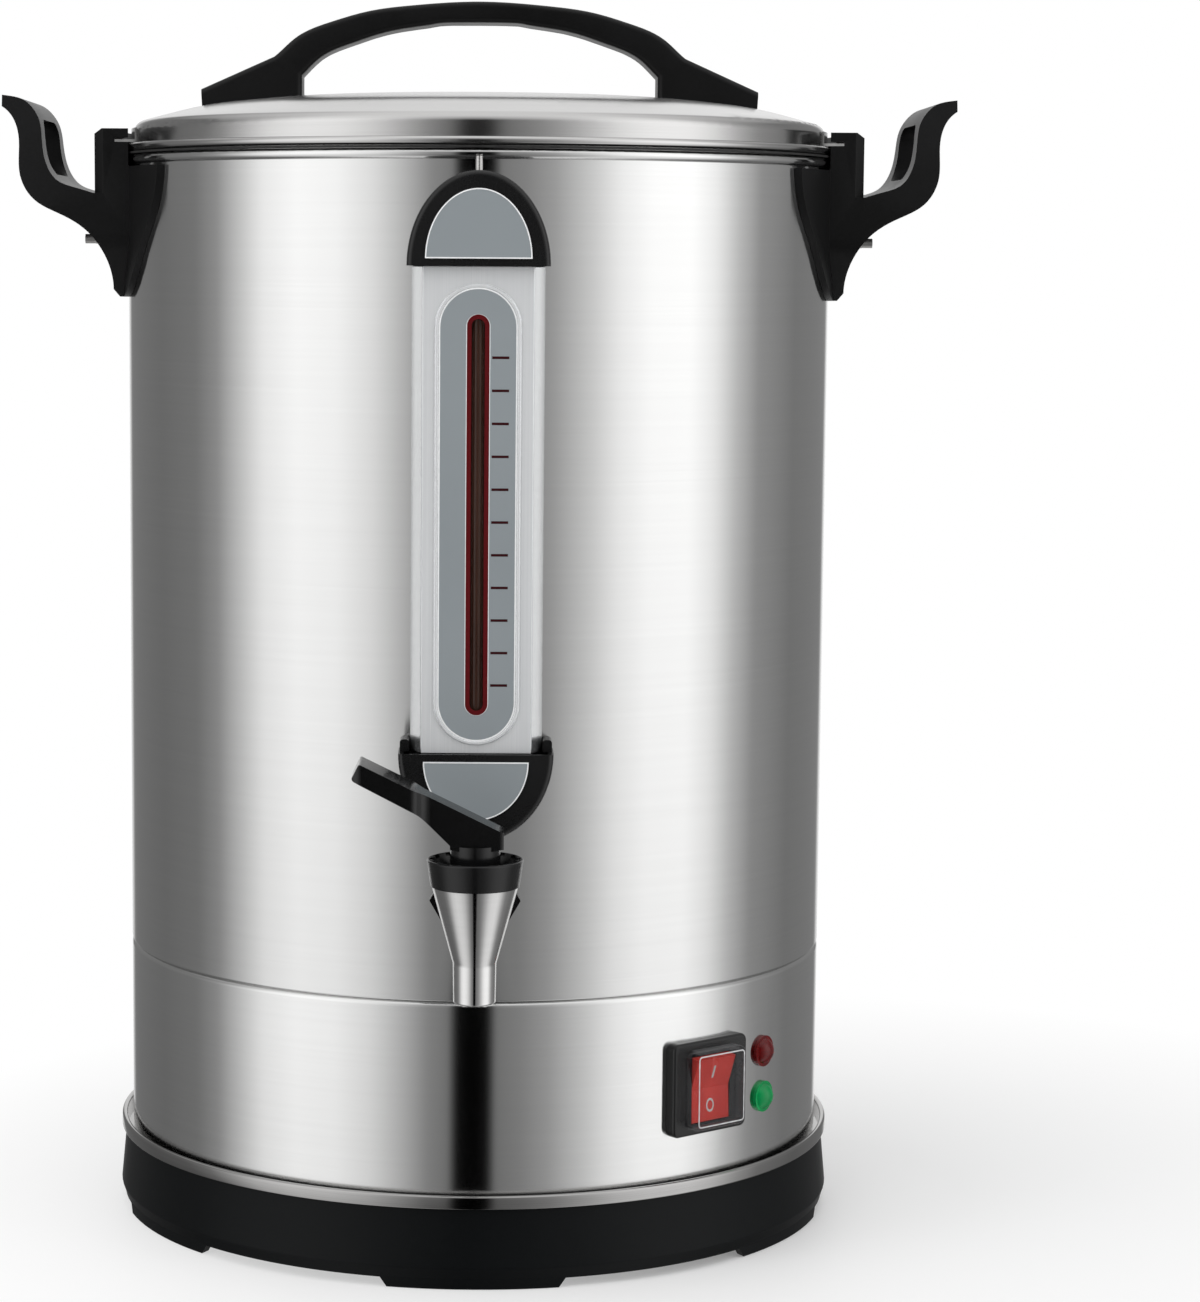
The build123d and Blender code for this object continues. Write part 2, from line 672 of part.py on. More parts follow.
def make_tap_washers():
    """Two silicone washers, moulded to the wall's curve, outside and inside the tank."""
    ring = lying(tap_washer_radius, -body_radius - tap_washer_thickness, -inner_radius + tap_washer_thickness)
    ring = ring - lying(shank_radius + seat_gap, -body_radius - 10, -inner_radius + 10)
    drum_outside = Pos(0, 0, -shank_z) * tank_drum(body_radius + seat_gap)
    drum_inside = Pos(0, 0, -shank_z) * tank_drum(inner_radius - seat_gap)
    return group(Pos(0, 0, shank_z) * part for part in (ring - drum_outside, ring & drum_inside))


def make_tap_lock_nut():
    """Black hexagonal nut that backs the tap outside the tank."""
    nut = Rot(90, 0, 0) * (extrude(RegularPolygon(lock_nut_corner, 6), lock_nut_height)
                           - rod(shank_radius + seat_gap, -1, lock_nut_height + 1))
    return Pos(0, -body_radius - tap_washer_thickness, shank_z) * nut


def make_tap_nut():
    """Steel nut on the shank inside the tank."""
    nut = Rot(-90, 0, 0) * (extrude(RegularPolygon(tank_nut_corner, 6), tank_nut_height)
                            - rod(shank_radius + seat_gap, -1, tank_nut_height + 1))
    return Pos(0, -inner_radius + tap_washer_thickness, shank_z) * nut


def make_tap_bonnet():
    """Black screwed cap: smooth cone, rim notched inside and a dished top for the lever to rock on."""
    ceiling_z = dish_z - bonnet_ceiling
    cap = turned(outline(
        (0, bonnet_bottom_z), (bonnet_bottom_radius, bonnet_bottom_z), (bonnet_top_radius, bonnet_top_z, 0.8),
        (bonnet_dish_radius + 1, bonnet_top_z), (bonnet_dish_radius, dish_z), (0, dish_z)))
    thread = turned(outline(
        (0, bonnet_bottom_z - 1), (neck_radius + running_gap, bonnet_bottom_z - 1),
        (neck_radius + running_gap, cone_top_z + neck_height + rest_gap),
        (neck_bore, ceiling_z), (0, ceiling_z)))
    cap = cap - thread - rod(stem_radius + running_gap, ceiling_z - 1, dish_z + 1)
    width, length, depth = bonnet_notch
    notch = Pos(0, -bonnet_dish_radius - length / 2 + 0.6, bonnet_top_z) * Box(width, length, 2 * depth)
    cap = cap - around(notch, bonnet_notches, 180.0 / bonnet_notches)
    return Pos(0, tap_y, 0) * cap


def make_tap_thrust_washer():
    """Washer under the bonnet that the spring pushes on and that turns with the stem."""
    bore, outer, thickness = thrust_washer
    top = dish_z - bonnet_ceiling - rest_gap
    return Pos(0, tap_y, 0) * tube(outer, bore, top - thickness, top)


def spring_bottom_z():
    """Top of the seat cup, where the spring stands."""
    return valve_seat_z + rest_gap + cup_rise


def spring_top_z():
    """Underside of the thrust washer."""
    return dish_z - bonnet_ceiling - rest_gap - thrust_washer[2]


def make_tap_stem():
    """Stem with a barb in the seat cup and an eye for the cross pin."""
    foot = valve_seat_z + rest_gap + 3
    stem = rod(stem_radius, foot, stem_top_z) + rod(stem_radius + 1.6, foot, foot + 2)
    eye = Pos(0, 0, pivot_z) * lying(cross_pin_radius + running_gap, -10, 10)
    return Pos(0, tap_y, 0) * (stem - eye)


def make_seat_cup():
    """Silicone cup that closes the outlet, moulded around the stem's foot."""
    bottom = valve_seat_z + rest_gap
    cup = turned(outline(
        (0, bottom), (cup_bottom_radius, bottom, 0.8), (cup_top_radius, bottom + 6),
        (cup_top_radius, bottom + cup_rise),
        (0, bottom + cup_rise)))
    foot = bottom + 3
    hole = rod(stem_radius, foot, bottom + cup_rise + 1) + rod(stem_radius + 1.6, foot, foot + 2)
    return Pos(0, tap_y, 0) * (cup - hole)


def make_tap_spring():
    """Coil spring between the seat cup and the thrust washer."""
    low = spring_bottom_z() + spring_wire + 0.1
    height = spring_top_z() - spring_wire - 0.1 - low
    path = Helix(height / spring_turns, height, spring_radius)
    start = Plane(origin=path @ 0, z_dir=path % 0)
    return Pos(0, tap_y, low) * sweep(start * Circle(spring_wire), path, is_frenet=True)


def make_cross_pin():
    """Pin through the lever's head and the stem's eye."""
    half = lever_width / 2
    return Pos(0, tap_y, pivot_z) * lying(cross_pin_radius, -half, half)


def make_tap_lever():
    """Lever with a broad thumb pad, and a round collar that rocks in the bonnet's dish."""
    slope = math.tan(math.radians(lever_angle))
    lean = math.radians(90 - lever_angle)
    tip_top_x = lever_tip_x + lever_tip_thickness * math.cos(lean)
    tip_top_z = lever_tip_z + lever_tip_thickness * math.sin(lean)
    head_top_z = tip_top_z - slope * (lever_head_x - tip_top_x)
    heel_z = pivot_z + 1.0
    base_z = dish_z + rest_gap
    belly_x = lever_tip_x + pad_length
    profile = outline(
        (lever_tip_x, lever_tip_z, 1.2), (tip_top_x, tip_top_z, 0.8), (lever_head_x, head_top_z, 0.8),
        (lever_head_x, heel_z), (lever_collar_radius, heel_z), (0, heel_z - 2), (-lever_collar_radius, heel_z),
        (-lever_collar_radius, heel_z + 1.5), (belly_x, lever_tip_z - slope * pad_length * 1.06, 14))
    bar = extrude(Plane.XZ * profile, pad_width / 2, both=True)
    neck_x = lever_tip_x + pad_length
    plan = outline(
        (lever_tip_x - 1, -pad_width / 2, pad_corner + 1), (neck_x - 1, -pad_width / 2, 3.5),
        (neck_x + 3, -lever_width / 2, 5), (lever_head_x + 1, -lever_width / 2, 2.5),
        (lever_head_x + 1, lever_width / 2, 2.5), (neck_x + 3, lever_width / 2, 5),
        (neck_x - 1, pad_width / 2, 3.5), (lever_tip_x - 1, pad_width / 2, pad_corner + 1))
    arm = bar & extrude(plan, 400)
    collar = rod(lever_collar_radius, base_z, heel_z + 1)
    drop = pivot_z - base_z
    swing = math.tan(math.radians(lever_press + 2))
    near = stem_radius + rest_gap
    top = pivot_z + math.hypot(stem_radius, stem_top_z - pivot_z) + rest_gap
    cavity_face = outline(
        (-near - (drop + 2) * swing, base_z - 1), (near, base_z - 1), (near, pivot_z - 1),
        (near + (top - pivot_z + 1) * swing, top), (-near, top), (-near, pivot_z + 1))
    cavity = extrude(Plane.XZ * cavity_face, stem_radius + rest_gap, both=True)
    hole = Pos(0, 0, pivot_z) * lying(cross_pin_radius + 0.02, -lever_width / 2, 20)
    return Pos(0, tap_y, 0) * (arm + collar - cavity - hole)


# ---------------------------------------------------------------- sight gauge

def make_gauge_housing():
    """Pressed aluminium channel over the glass, with a raised oval ridge and a reading slot."""
    def section(front_half, side_half, front):
        return outline((-side_half, -body_radius + 8), (-side_half, -body_radius - 1), (-front_half, -front),
                       (front_half, -front), (side_half, -body_radius - 1), (side_half, -body_radius + 8))
    height = housing_top_z - housing_bottom_z
    lift = Pos(0, 0, housing_bottom_z)
    shell = lift * extrude(section(housing_face_half_width, housing_half_width, housing_front), height)
    hollow = Pos(0, 0, housing_bottom_z - 1) * extrude(section(
        housing_face_half_width - housing_wall, housing_half_width - housing_wall,
        housing_front - housing_wall), height + 2)
    shell = shell - hollow - tank_drum(body_radius + seat_gap)
    ridge = front_slab(
        upright_stadium(ridge_half_width, ridge_bottom_z, ridge_top_z)
        - upright_stadium(ridge_half_width - ridge_width,
                          ridge_bottom_z + ridge_width, ridge_top_z - ridge_width),
        housing_front - 0.3, housing_front + ridge_rise)
    slot = upright_stadium(slot_half_width, slot_bottom_z, slot_top_z)
    slot = front_slab(slot, inner_radius, housing_front + 5)
    return shell + ridge - slot


def make_gauge_scale():
    """Grey scale plate inside the ridge, with the same slot."""
    margin = ridge_width + 0.05
    face = upright_stadium(ridge_half_width - margin, ridge_bottom_z + margin, ridge_top_z - margin)
    face = face - upright_stadium(slot_half_width, slot_bottom_z, slot_top_z)
    return front_slab(face, housing_front, housing_front + plate_rise)


def make_gauge_glass():
    """Glass sight tube behind the slot."""
    return Pos(0, glass_y, 0) * tube(glass_radius, glass_bore, glass_bottom_z, glass_top_z)


def make_gauge_seals():
    """Silicone sleeves on both ends of the glass; the upper one also holds the vent pipe."""
    outer = glass_radius + gauge_seal_wall
    lower = tube(outer, glass_radius, glass_bottom_z, glass_bottom_z + gauge_seal_height)
    upper = tube(outer, glass_radius, glass_top_z - gauge_seal_height / 2, glass_top_z)
    plug = tube(outer, vent_radius, glass_top_z, glass_top_z + gauge_seal_height / 2)
    return group(Pos(0, glass_y, 0) * part for part in (lower, upper + plug))


def make_gauge_vent():
    """Thin pipe from the top of the glass up to the rim, which lets the column breathe."""
    return Pos(0, glass_y, 0) * tube(vent_radius, vent_radius - 0.5, glass_top_z, vent_top_z)


def make_gauge_elbow():
    """Steel elbow that feeds the glass through the tank's wall."""
    bore = glass_radius + gauge_seal_wall
    top = glass_bottom_z + gauge_seal_height - 1
    cup = Pos(0, glass_y, 0) * rod(elbow_cup_radius, elbow_z - elbow_radius - 1, top)
    shank = Pos(0, 0, elbow_z) * lying(elbow_radius, glass_y, -inner_radius + 9)
    passage = Pos(0, 0, elbow_z) * lying(elbow_bore, glass_y, -inner_radius + 10)
    well = Pos(0, glass_y, 0) * (rod(bore, glass_bottom_z, top + 1) + rod(elbow_bore, elbow_z, top))
    return cup + shank - passage - well - (tank_drum(body_radius + seat_gap) - Pos(
        0, 0, elbow_z) * lying(elbow_radius + 0.01, -inner_radius + 20, -body_radius - 20))


def make_gauge_nut():
    """Nut that clamps the elbow from inside the tank."""
    nut = Rot(-90, 0, 0) * (hexagon(gauge_nut_flats, gauge_nut_height)
                            - rod(elbow_radius, -1, gauge_nut_height + 1))
    return Pos(0, -math.sqrt(inner_radius ** 2 - (gauge_nut_flats * 0.58) ** 2) + 0.02, elbow_z) * nut


def cap_face(half_width, height, level, up, shrink=0.0):
    """Half an ellipse standing on a level, or hanging from it where up is -1."""
    ellipse = Ellipse(half_width - shrink, height - shrink)
    upper = ellipse & (Pos(0, height) * Rectangle(4 * half_width, 2 * height))
    turn = 0 if up > 0 else 180
    return Pos(0, level) * Rot(0, 0, turn) * upper


def make_gauge_cap(half_width, height, level, up, lugs=()):
    """Hollow moulded end cap with a rounded front edge, bedded on the tank."""
    block = front_slab(cap_face(half_width, height, level, up), body_radius - 10, cap_front)
    front = block.faces().sort_by(Axis.Y)[0]
    block = fillet(front.edges().filter_by(GeomType.LINE, reverse=True), cap_round)
    for lug in lugs:
        block = block + lug
    hollow = front_slab(cap_face(half_width, height, level - up * 0.1, up, cap_wall),
                        body_radius - 12, cap_front - cap_wall)
    bed = tank_drum(body_radius + seat_gap)
    return block - hollow - bed


def make_gauge_top_cap():
    """Upper end cap, with a hole for the vent pipe."""
    cap = make_gauge_cap(top_cap_half_width, top_cap_height, housing_top_z + 0.1, 1)
    return cap - Pos(0, glass_y, 0) * rod(vent_radius + bolt_hole_gap, housing_top_z, vent_top_z + 10)


def make_gauge_bottom_cap():
    """Lower end cap, with two lugs that hug the housing's sides."""
    level = housing_bottom_z - 0.1
    width, height, setback = cap_lug
    face = Pos(0, level + (height - cap_wall) / 2) * Rectangle(width, height + cap_wall)
    lug = front_slab(face, body_radius - 10, cap_front - setback)
    lug = fillet(lug.edges().filter_by(Axis.Y).group_by(Axis.Z)[-1], width * 0.35)
    middle = housing_half_width + rest_gap + width / 2
    lugs = [Pos(side * middle, 0, 0) * lug for side in (-1, 1)]
    return make_gauge_cap(bottom_cap_half_width, bottom_cap_height, level, -1, lugs)


def make_gauge_insert(cap_height, level, up, height):
    """Grey plate let into a cap's face."""
    face = cap_face(insert_half_width, height, level + up * insert_margin, up)
    return front_slab(face, cap_front, cap_front + insert_thickness)


# ---------------------------------------------------------------- side handles

def handle_outline():
    """Side profile of the right-hand handle, drawn as (x, z): scrolled grip, arm, heel and post."""
    def at(reach, rise):
        return body_radius + grip_reach * reach, rim_z + handle_drop * rise
    with BuildLine() as edge:
        under = Spline(at(1, 0.38), at(0.91, 0.304), at(0.852, 0.147), at(0.837, -0.115), at(0.722, -0.291),
                       at(0.465, -0.414), at(0.235, -0.558), at(0.109, -0.761), at(0.086, -0.944))
        inside = body_radius * 0.92
        foot = Polyline(under @ 1, (body_radius + 0.037 * grip_reach, handle_bottom_z),
                        (inside, handle_bottom_z),
                        (inside, post_top_z), (post_x, post_top_z), (post_x, rim_z - 0.248 * handle_drop))
        over = Spline(foot @ 1, at(0.366, -0.209), at(0.523, -0.157), at(0.621, -0.031), at(0.658, 0.134),
                      at(0.691, 0.297), at(0.802, 0.419), at(1, 0.464), tangents=((0.96, 0.28), (1, 0.12)))
        Line(over @ 1, under @ 0)
    return make_face(edge.line.edges())


def handle_front_outline():
    """The handle from the side of the urn, drawn as (y, z): narrow foot, square block, narrower lip."""
    lip_z = rim_z + handle_drop * 0.52
    shoulder_z = handle_bottom_z + handle_shoulder
    half = [
        (handle_foot_half_width, handle_bottom_z - 1, 6), (handle_half_width, shoulder_z, handle_shoulder_round),
        (handle_half_width, post_top_z + 0.5), (grip_lip_half_width, lip_z, handle_corner)]
    return outline(*half, *[(-y, *rest) for y, *rest in reversed(half)])


def handle_saddle():
    """Thin apron moulded with the handle, which spreads its load over the tank's wall."""
    half = saddle_half_width
    height = saddle_top_z - handle_bottom_z
    with BuildLine() as edge:
        lower = Spline((half, saddle_top_z), (half * 0.9, handle_bottom_z + height * 0.6),
                       (half * 0.78, handle_bottom_z + height * 0.4), (half * 0.67, handle_bottom_z + height * 0.225),
                       (handle_foot_half_width * 1.15, handle_bottom_z))
        Line(lower @ 1, (0, handle_bottom_z))
        Line(lower @ 0, (0, saddle_top_z))
        mirror(edge.line, about=Plane.YZ)
    band = tube(body_radius + saddle_thickness, body_radius - 1, handle_bottom_z, saddle_top_z)
    return band & extrude(from_side() * make_face(edge.line.edges()), 2 * body_radius)


def from_side():
    """The plane on which (y, z) outlines are drawn, facing +X."""
    return Plane((0, 0, 0), x_dir=(0, 1, 0), z_dir=(1, 0, 0))


def post_chamfers():
    """What the chamfers take off the post's outer corners and its top edge."""
    corner, across, down = post_chamfer
    side = outline((post_x - corner, handle_half_width + 0.1), (post_x + 0.1, handle_half_width + 0.1),
                   (post_x + 0.1, handle_half_width - corner))
    side = Pos(0, 0, rim_z - 0.248 * handle_drop + 0.1) * extrude(side, handle_drop)
    top = Plane.XZ * outline((post_x - across, post_top_z + 0.1), (post_x + 0.1, post_top_z + 0.1),
                             (post_x + 0.1, post_top_z - down))
    return side + mirror(side, about=Plane.XZ) + extrude(top, handle_half_width + 1, both=True)


def make_right_handle():
    """Moulded handle: grip with a finger slot, post with a hook for the lid's ear, saddle on the tank."""
    body = extrude(Plane.XZ * handle_outline(), handle_half_width, both=True)
    body = body & extrude(from_side() * handle_front_outline(), 2 * body_radius)
    wide = handle_half_width + 20
    grip_side = outline(
        (-handle_half_width, rim_z - handle_drop * 0.325), (-grip_half_width, rim_z, 25),
        (1 - grip_lip_half_width, rim_z + handle_drop * 0.52), (-wide, rim_z + handle_drop * 0.52),
        (-wide, rim_z - handle_drop * 0.325))
    for trim in (grip_side, mirror(grip_side, about=Plane.YZ)):
        body = body - Pos(post_x, 0, 0) * extrude(from_side() * trim, body_radius)
    body = body - post_chamfers()
    body = body + handle_saddle()
    body = body - tank_drum(body_radius + seat_gap)
    body = body - tube(rim_clearance_radius, body_radius * 0.8, saddle_top_z, lid_crown_z)
    body = body - tube(ear_tip_radius + ear_slot_gap * 2, body_radius * 0.8, ear_z - ear_slot_gap,
                       ear_z + ear_sheet + ear_slot_gap)
    finger_slot = Pos(0, (finger_slot_bottom_z + finger_slot_top_z) / 2) * RectangleRounded(
        2 * finger_slot_half_length, finger_slot_height, finger_slot_corner)
    body = body - Pos(post_x + 0.25 * grip_reach, 0, 0) * extrude(from_side() * finger_slot, grip_reach)
    for y in (-handle_bolt_spread, handle_bolt_spread):
        hole = facing_x(handle_bolt_radius + bolt_hole_gap, body_radius - 20, handle_bolt_reach + 5)
        pocket = facing_x(nut_pocket_radius, handle_nut_seat, handle_bolt_reach + 5)
        body = body - Pos(0, y, handle_bolt_z) * hole - Pos(0, y, handle_bolt_z) * pocket
    return body


def make_handle_bolts():
    """Bolts from inside the tank, with flat heads shaped to its wall."""
    bolts = []
    for turn in (0, 180):
        for y in (-handle_bolt_spread, handle_bolt_spread):
            wall = math.sqrt(inner_radius ** 2 - y ** 2)
            head = facing_x(bolt_head_radius, wall - bolt_head_height, wall + 2)
            head = Pos(0, y, handle_bolt_z) * head & tank_drum(inner_radius - seat_gap)
            shank = Pos(0, y, handle_bolt_z) * facing_x(handle_bolt_radius, wall - 1, handle_bolt_reach)
            bolts.append(Rot(0, 0, turn) * (head + shank))
    return group(bolts)


def make_handle_nuts():
    """Nuts in the pockets under the handles."""
    nut = Rot(0, 90, 0) * (hexagon(handle_nut_flats, handle_nut_height)
                           - rod(handle_bolt_radius, -1, handle_nut_height + 1))
    return group(Rot(0, 0, turn) * Pos(handle_nut_seat, y, handle_bolt_z) * nut
                 for turn in (0, 180) for y in (-handle_bolt_spread, handle_bolt_spread))


# ---------------------------------------------------------------- lid

def lid_profile(inset):
    """The lid's dish as (radius, height), from its locating rim to the axis, moved inwards by an inset."""
    band = lid_band_radius - inset
    rise = lid_crown_z - lid_shoulder_z
    return [
        (band, lid_bead_z - lid_rim_depth), (band, lid_shoulder_z - inset, lid_shoulder_round - inset),
        (lid_band_radius * 0.82, lid_shoulder_z + rise * 0.575 - inset, 120),
        (lid_band_radius * 0.6, lid_shoulder_z + rise * 0.87 - inset, 250),
        (lid_band_radius * 0.27, lid_crown_z - 0.3 - inset, 600), (0, lid_crown_z - inset)]


def make_lid_shell():
    """Pressed lid: crowned dish, rolled bead that covers the tank's rim, and a locating rim."""
    inside = list(reversed(lid_profile(sheet)))
    dish = turned(outline(*lid_profile(0), *inside))
    bead = turned(Pos(body_radius, lid_bead_z) * Circle(lid_bead_radius))
    web = tube(body_radius, lid_band_radius - sheet / 2, lid_bead_z - sheet / 2, lid_bead_z + sheet / 2)
    holes = [Pos(side * lid_screw_x, 0, 0) * rod(lid_screw_radius + bolt_hole_gap, lid_bead_z, lid_handle_top_z)
             for side in (-1, 1)]
    return dish + bead + web - holes


def make_lid_seal():
    """Flat silicone ring between the tank's bead and the lid's."""
    outer = body_radius + seal_width / 2
    return tube(outer, outer - seal_width, seal_bottom_z, seal_bottom_z + seal_thickness)


def make_lid_ears():
    """Two bent tabs welded to the lid's band, which turn in under the handles' hooks."""
    tongue = tube(ear_tip_radius, lid_band_radius, ear_z, ear_z + ear_sheet)
    tab = tube(lid_band_radius + ear_sheet, lid_band_radius, ear_z, ear_z + ear_tab_height)
    reach = 200.0
    spread = reach * math.tan(math.radians(ear_half_angle))
    wedge = extrude(outline((0, 0), (reach, -spread), (reach, spread)), lid_handle_top_z)
    ear = (tongue + tab) & wedge
    return group([ear, Rot(0, 0, 180) * ear])


def lid_handle_outline():
    """Right-hand half of the lid handle's profile, drawn as (x, z)."""
    def at(reach, drop):
        return lid_handle_reach * reach, lid_handle_top_z - lid_handle_height * drop
    foot_z = lid_shoulder_z + 4.5
    with BuildLine() as edge:
        over = Spline(at(0, 0), at(0.2425, 0.043), at(0.401, 0.108), at(0.5325, 0.22), at(0.664, 0.398),
                      at(0.738, 0.593), tangents=((1, 0), (0.8, -0.6)))
        foot = Polyline(over @ 1, at(1, 0.942), (lid_handle_reach * 0.995, foot_z),
                        (lid_foot_inner_x, foot_z), (lid_foot_inner_x, at(0, 0.791)[1]))
        under = Spline(foot @ 1, at(0.572, 0.602), at(0.453, 0.443), at(0.308, 0.312), at(0.177, 0.251),
                       at(0, 0.224), tangents=((-0.7, 0.7), (-1, 0)))
        Line(under @ 1, over @ 0)
    return make_face(edge.line.edges())


def make_lid_handle():
    """Moulded arch with long wedge feet that bed on the lid's crown."""
    half = extrude(Plane.XZ * lid_handle_outline(), lid_handle_half_width, both=True)
    arch = half + mirror(half, about=Plane.YZ)
    sides = [edge for edge in arch.edges() if abs(edge.center().Y) > lid_handle_half_width - 0.5
             and edge.center().Z > lid_crown_z - 6 and abs(edge.center().X) < lid_handle_reach - 2]
    arch = fillet(sides, lid_handle_round)
    arch = arch - turned(outline(*lid_profile(-seat_gap), (0, lid_bead_z - lid_rim_depth)))
    for side in (-1, 1):
        pilot = rod(lid_screw_radius, lid_bead_z, lid_crown_z + lid_screw_depth - 2)
        arch = arch - Pos(side * lid_screw_x, 0, 0) * pilot
    return arch


def make_lid_handle_screws():
    """Pan-head screws up through the lid into the handle's feet."""
    screws = []
    for side in (-1, 1):
        under = lid_under_z(lid_screw_x)
        head = rod(lid_screw_head_radius, under - lid_screw_head_height, under)
        shank = rod(lid_screw_radius, under - 1, lid_crown_z + lid_screw_depth - 2)
        screws.append(Pos(side * lid_screw_x, 0, 0) * (head + shank))
    return group(screws)


def lid_under_z(radius):
    """Lowest height of the lid's inside over a screw head at a radius."""
    rise = lid_crown_z - lid_shoulder_z
    inner, outer = lid_band_radius * 0.6, lid_band_radius * 0.82
    share = (outer - radius - lid_screw_head_radius) / (outer - inner)
    return lid_shoulder_z + rise * (0.575 + 0.295 * share) - sheet - 0.45


# ---------------------------------------------------------------- percolator insert

def make_pump_stem():
    """Pump tube with a bell foot on the tank's floor and a collar for the basket."""
    floor = floor_top_z + rest_gap
    neck = pump_tube_radius + 1
    shell = turned(outline(
        (bell_radius, floor), (bell_radius, floor + 6, 4), (neck, floor + bell_height - 3, 6),
        (pump_tube_radius, floor + bell_height + 6), (pump_tube_radius, floor + pump_height),
        (pump_tube_radius - pump_wall, floor + pump_height),
        (pump_tube_radius - pump_wall, floor + bell_height + 6),
        (neck - pump_wall, floor + bell_height - 4.2, 5), (bell_radius - pump_wall, floor + 5.4, 3),
        (bell_radius - pump_wall, floor)))
    seat = floor_top_z + basket_seat_rise
    collar = tube(basket_collar_radius, pump_tube_radius - pump_wall / 2, seat - basket_collar_height, seat)
    mouth = Pos(0, -bell_radius, floor) * Cylinder(2.5, 12, rotation=(90, 0, 0))
    return shell + collar - around(mouth, 8)


def basket_floor_z():
    """Underside of the basket, on the stem's collar."""
    return floor_top_z + basket_seat_rise + rest_gap


def make_coffee_basket():
    """Perforated basket with a rolled rim and a centre tube over the pump stem."""
    bottom = basket_floor_z()
    top = bottom + basket_height
    wall = turned(outline(
        (0, bottom), (basket_radius, bottom, 4), (basket_radius, top), (basket_radius - basket_wall, top),
        (basket_radius - basket_wall, bottom + basket_wall, 3), (0, bottom + basket_wall)))
    bead = turned(Pos(basket_radius, top) * Circle(basket_bead_radius))
    sleeve_bore = pump_tube_radius + basket_tube_gap
    sleeve = rod(sleeve_bore + basket_wall, bottom, top - 8)
    hole = Cylinder(basket_hole_radius, 6)
    inner, middle, outer = basket_hole_circles
    holes = (around(Pos(0, inner * basket_radius, bottom) * hole, 8)
             + around(Pos(0, middle * basket_radius, bottom) * hole, 12)
             + around(Pos(0, outer * basket_radius, bottom) * hole, 16))
    return wall + bead + sleeve - rod(sleeve_bore, bottom - 1, top + 1) - holes


def make_basket_cover():
    """Spreader lid over the basket, which sheds the pumped water evenly."""
    seat = basket_floor_z() + basket_height + basket_bead_radius + rest_gap
    outer = basket_radius + basket_bead_radius + rest_gap + basket_wall
    bore = pump_tube_radius + basket_tube_gap
    plate = turned(outline(
        (bore, seat + 1.5), (40, seat, 30), (outer - basket_wall, seat),
        (outer - basket_wall, seat - spreader_skirt),
        (outer, seat - spreader_skirt), (outer, seat + basket_wall, 1.2), (40, seat + basket_wall, 30),
        (bore, seat + basket_wall + 1.5)))
    hole = Pos(0, 0, seat) * Cylinder(basket_hole_radius * 0.8, 8)
    near, far = (share * basket_radius for share in spreader_hole_circles)
    return plate - around(Pos(0, near, 0) * hole, 12) - around(Pos(0, far, 0) * hole, 16)


# ---------------------------------------------------------------- all nodes

def build():
    """Every node of the urn by name."""
    right_handle = make_right_handle()
    top_level = housing_top_z + 0.1
    bottom_level = housing_bottom_z - 0.1
    return {
        "base": make_base(),
        "bottom_cover": make_bottom_cover(),
        "base_trim_ring": make_trim_ring(),
        "skirt": make_skirt(),
        "tank": make_tank(),
        "tie_rods": make_tie_rods(),
        "tie_nuts": make_tie_nuts(),
        "heater_plate": make_heater_plate(),
        "heating_element": make_heating_element(),
        "thermostat": make_thermostat(),
        "thermal_cutout": make_thermal_cutout(),
        "terminal_block": make_terminal_block(),
        "power_inlet": make_power_inlet(),
        "inlet_pins": make_inlet_pins(),
        "inlet_screws": make_inlet_screws(),
        "switch_frame": make_switch_frame(),
        "switch_rocker": make_switch_rocker(),
        "switch_boot": make_switch_boot(),
        "lamp_red": make_lamp(lamp_heights["lamp_red"]),
        "lamp_green": make_lamp(lamp_heights["lamp_green"]),
        "tap_body": make_tap_body(),
        "tap_washers": make_tap_washers(),
        "tap_lock_nut": make_tap_lock_nut(),
        "tap_nut": make_tap_nut(),
        "tap_bonnet": make_tap_bonnet(),
        "tap_thrust_washer": make_tap_thrust_washer(),
        "tap_stem": make_tap_stem(),
        "tap_seat_cup": make_seat_cup(),
        "tap_spring": make_tap_spring(),
        "tap_cross_pin": make_cross_pin(),
        "tap_lever": make_tap_lever(),
        "gauge_housing": make_gauge_housing(),
        "gauge_scale": make_gauge_scale(),
        "gauge_glass": make_gauge_glass(),
        "gauge_seals": make_gauge_seals(),
        "gauge_vent": make_gauge_vent(),
        "gauge_elbow": make_gauge_elbow(),
        "gauge_nut": make_gauge_nut(),
        "gauge_top_cap": make_gauge_top_cap(),
        "gauge_bottom_cap": make_gauge_bottom_cap(),
        "gauge_top_insert": make_gauge_insert(top_cap_height, top_level, 1, top_insert_height),
        "gauge_bottom_insert": make_gauge_insert(bottom_cap_height, bottom_level, -1, bottom_insert_height),
        "right_handle": right_handle,
        "left_handle": Rot(0, 0, 180) * right_handle,
        "handle_bolts": make_handle_bolts(),
        "handle_nuts": make_handle_nuts(),
        "lid": make_lid_shell(),
        "lid_seal": make_lid_seal(),
        "lid_ears": make_lid_ears(),
        "lid_handle": make_lid_handle(),
        "lid_handle_screws": make_lid_handle_screws(),
        "pump_stem": make_pump_stem(),
        "coffee_basket": make_coffee_basket(),
        "basket_cover": make_basket_cover(),
    }


os.makedirs("parts", exist_ok=True)
for name, shape in build().items():
    export_step(shape, f"parts/{name}.step")
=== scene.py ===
import bpy
import math
from mathutils import Matrix, Vector


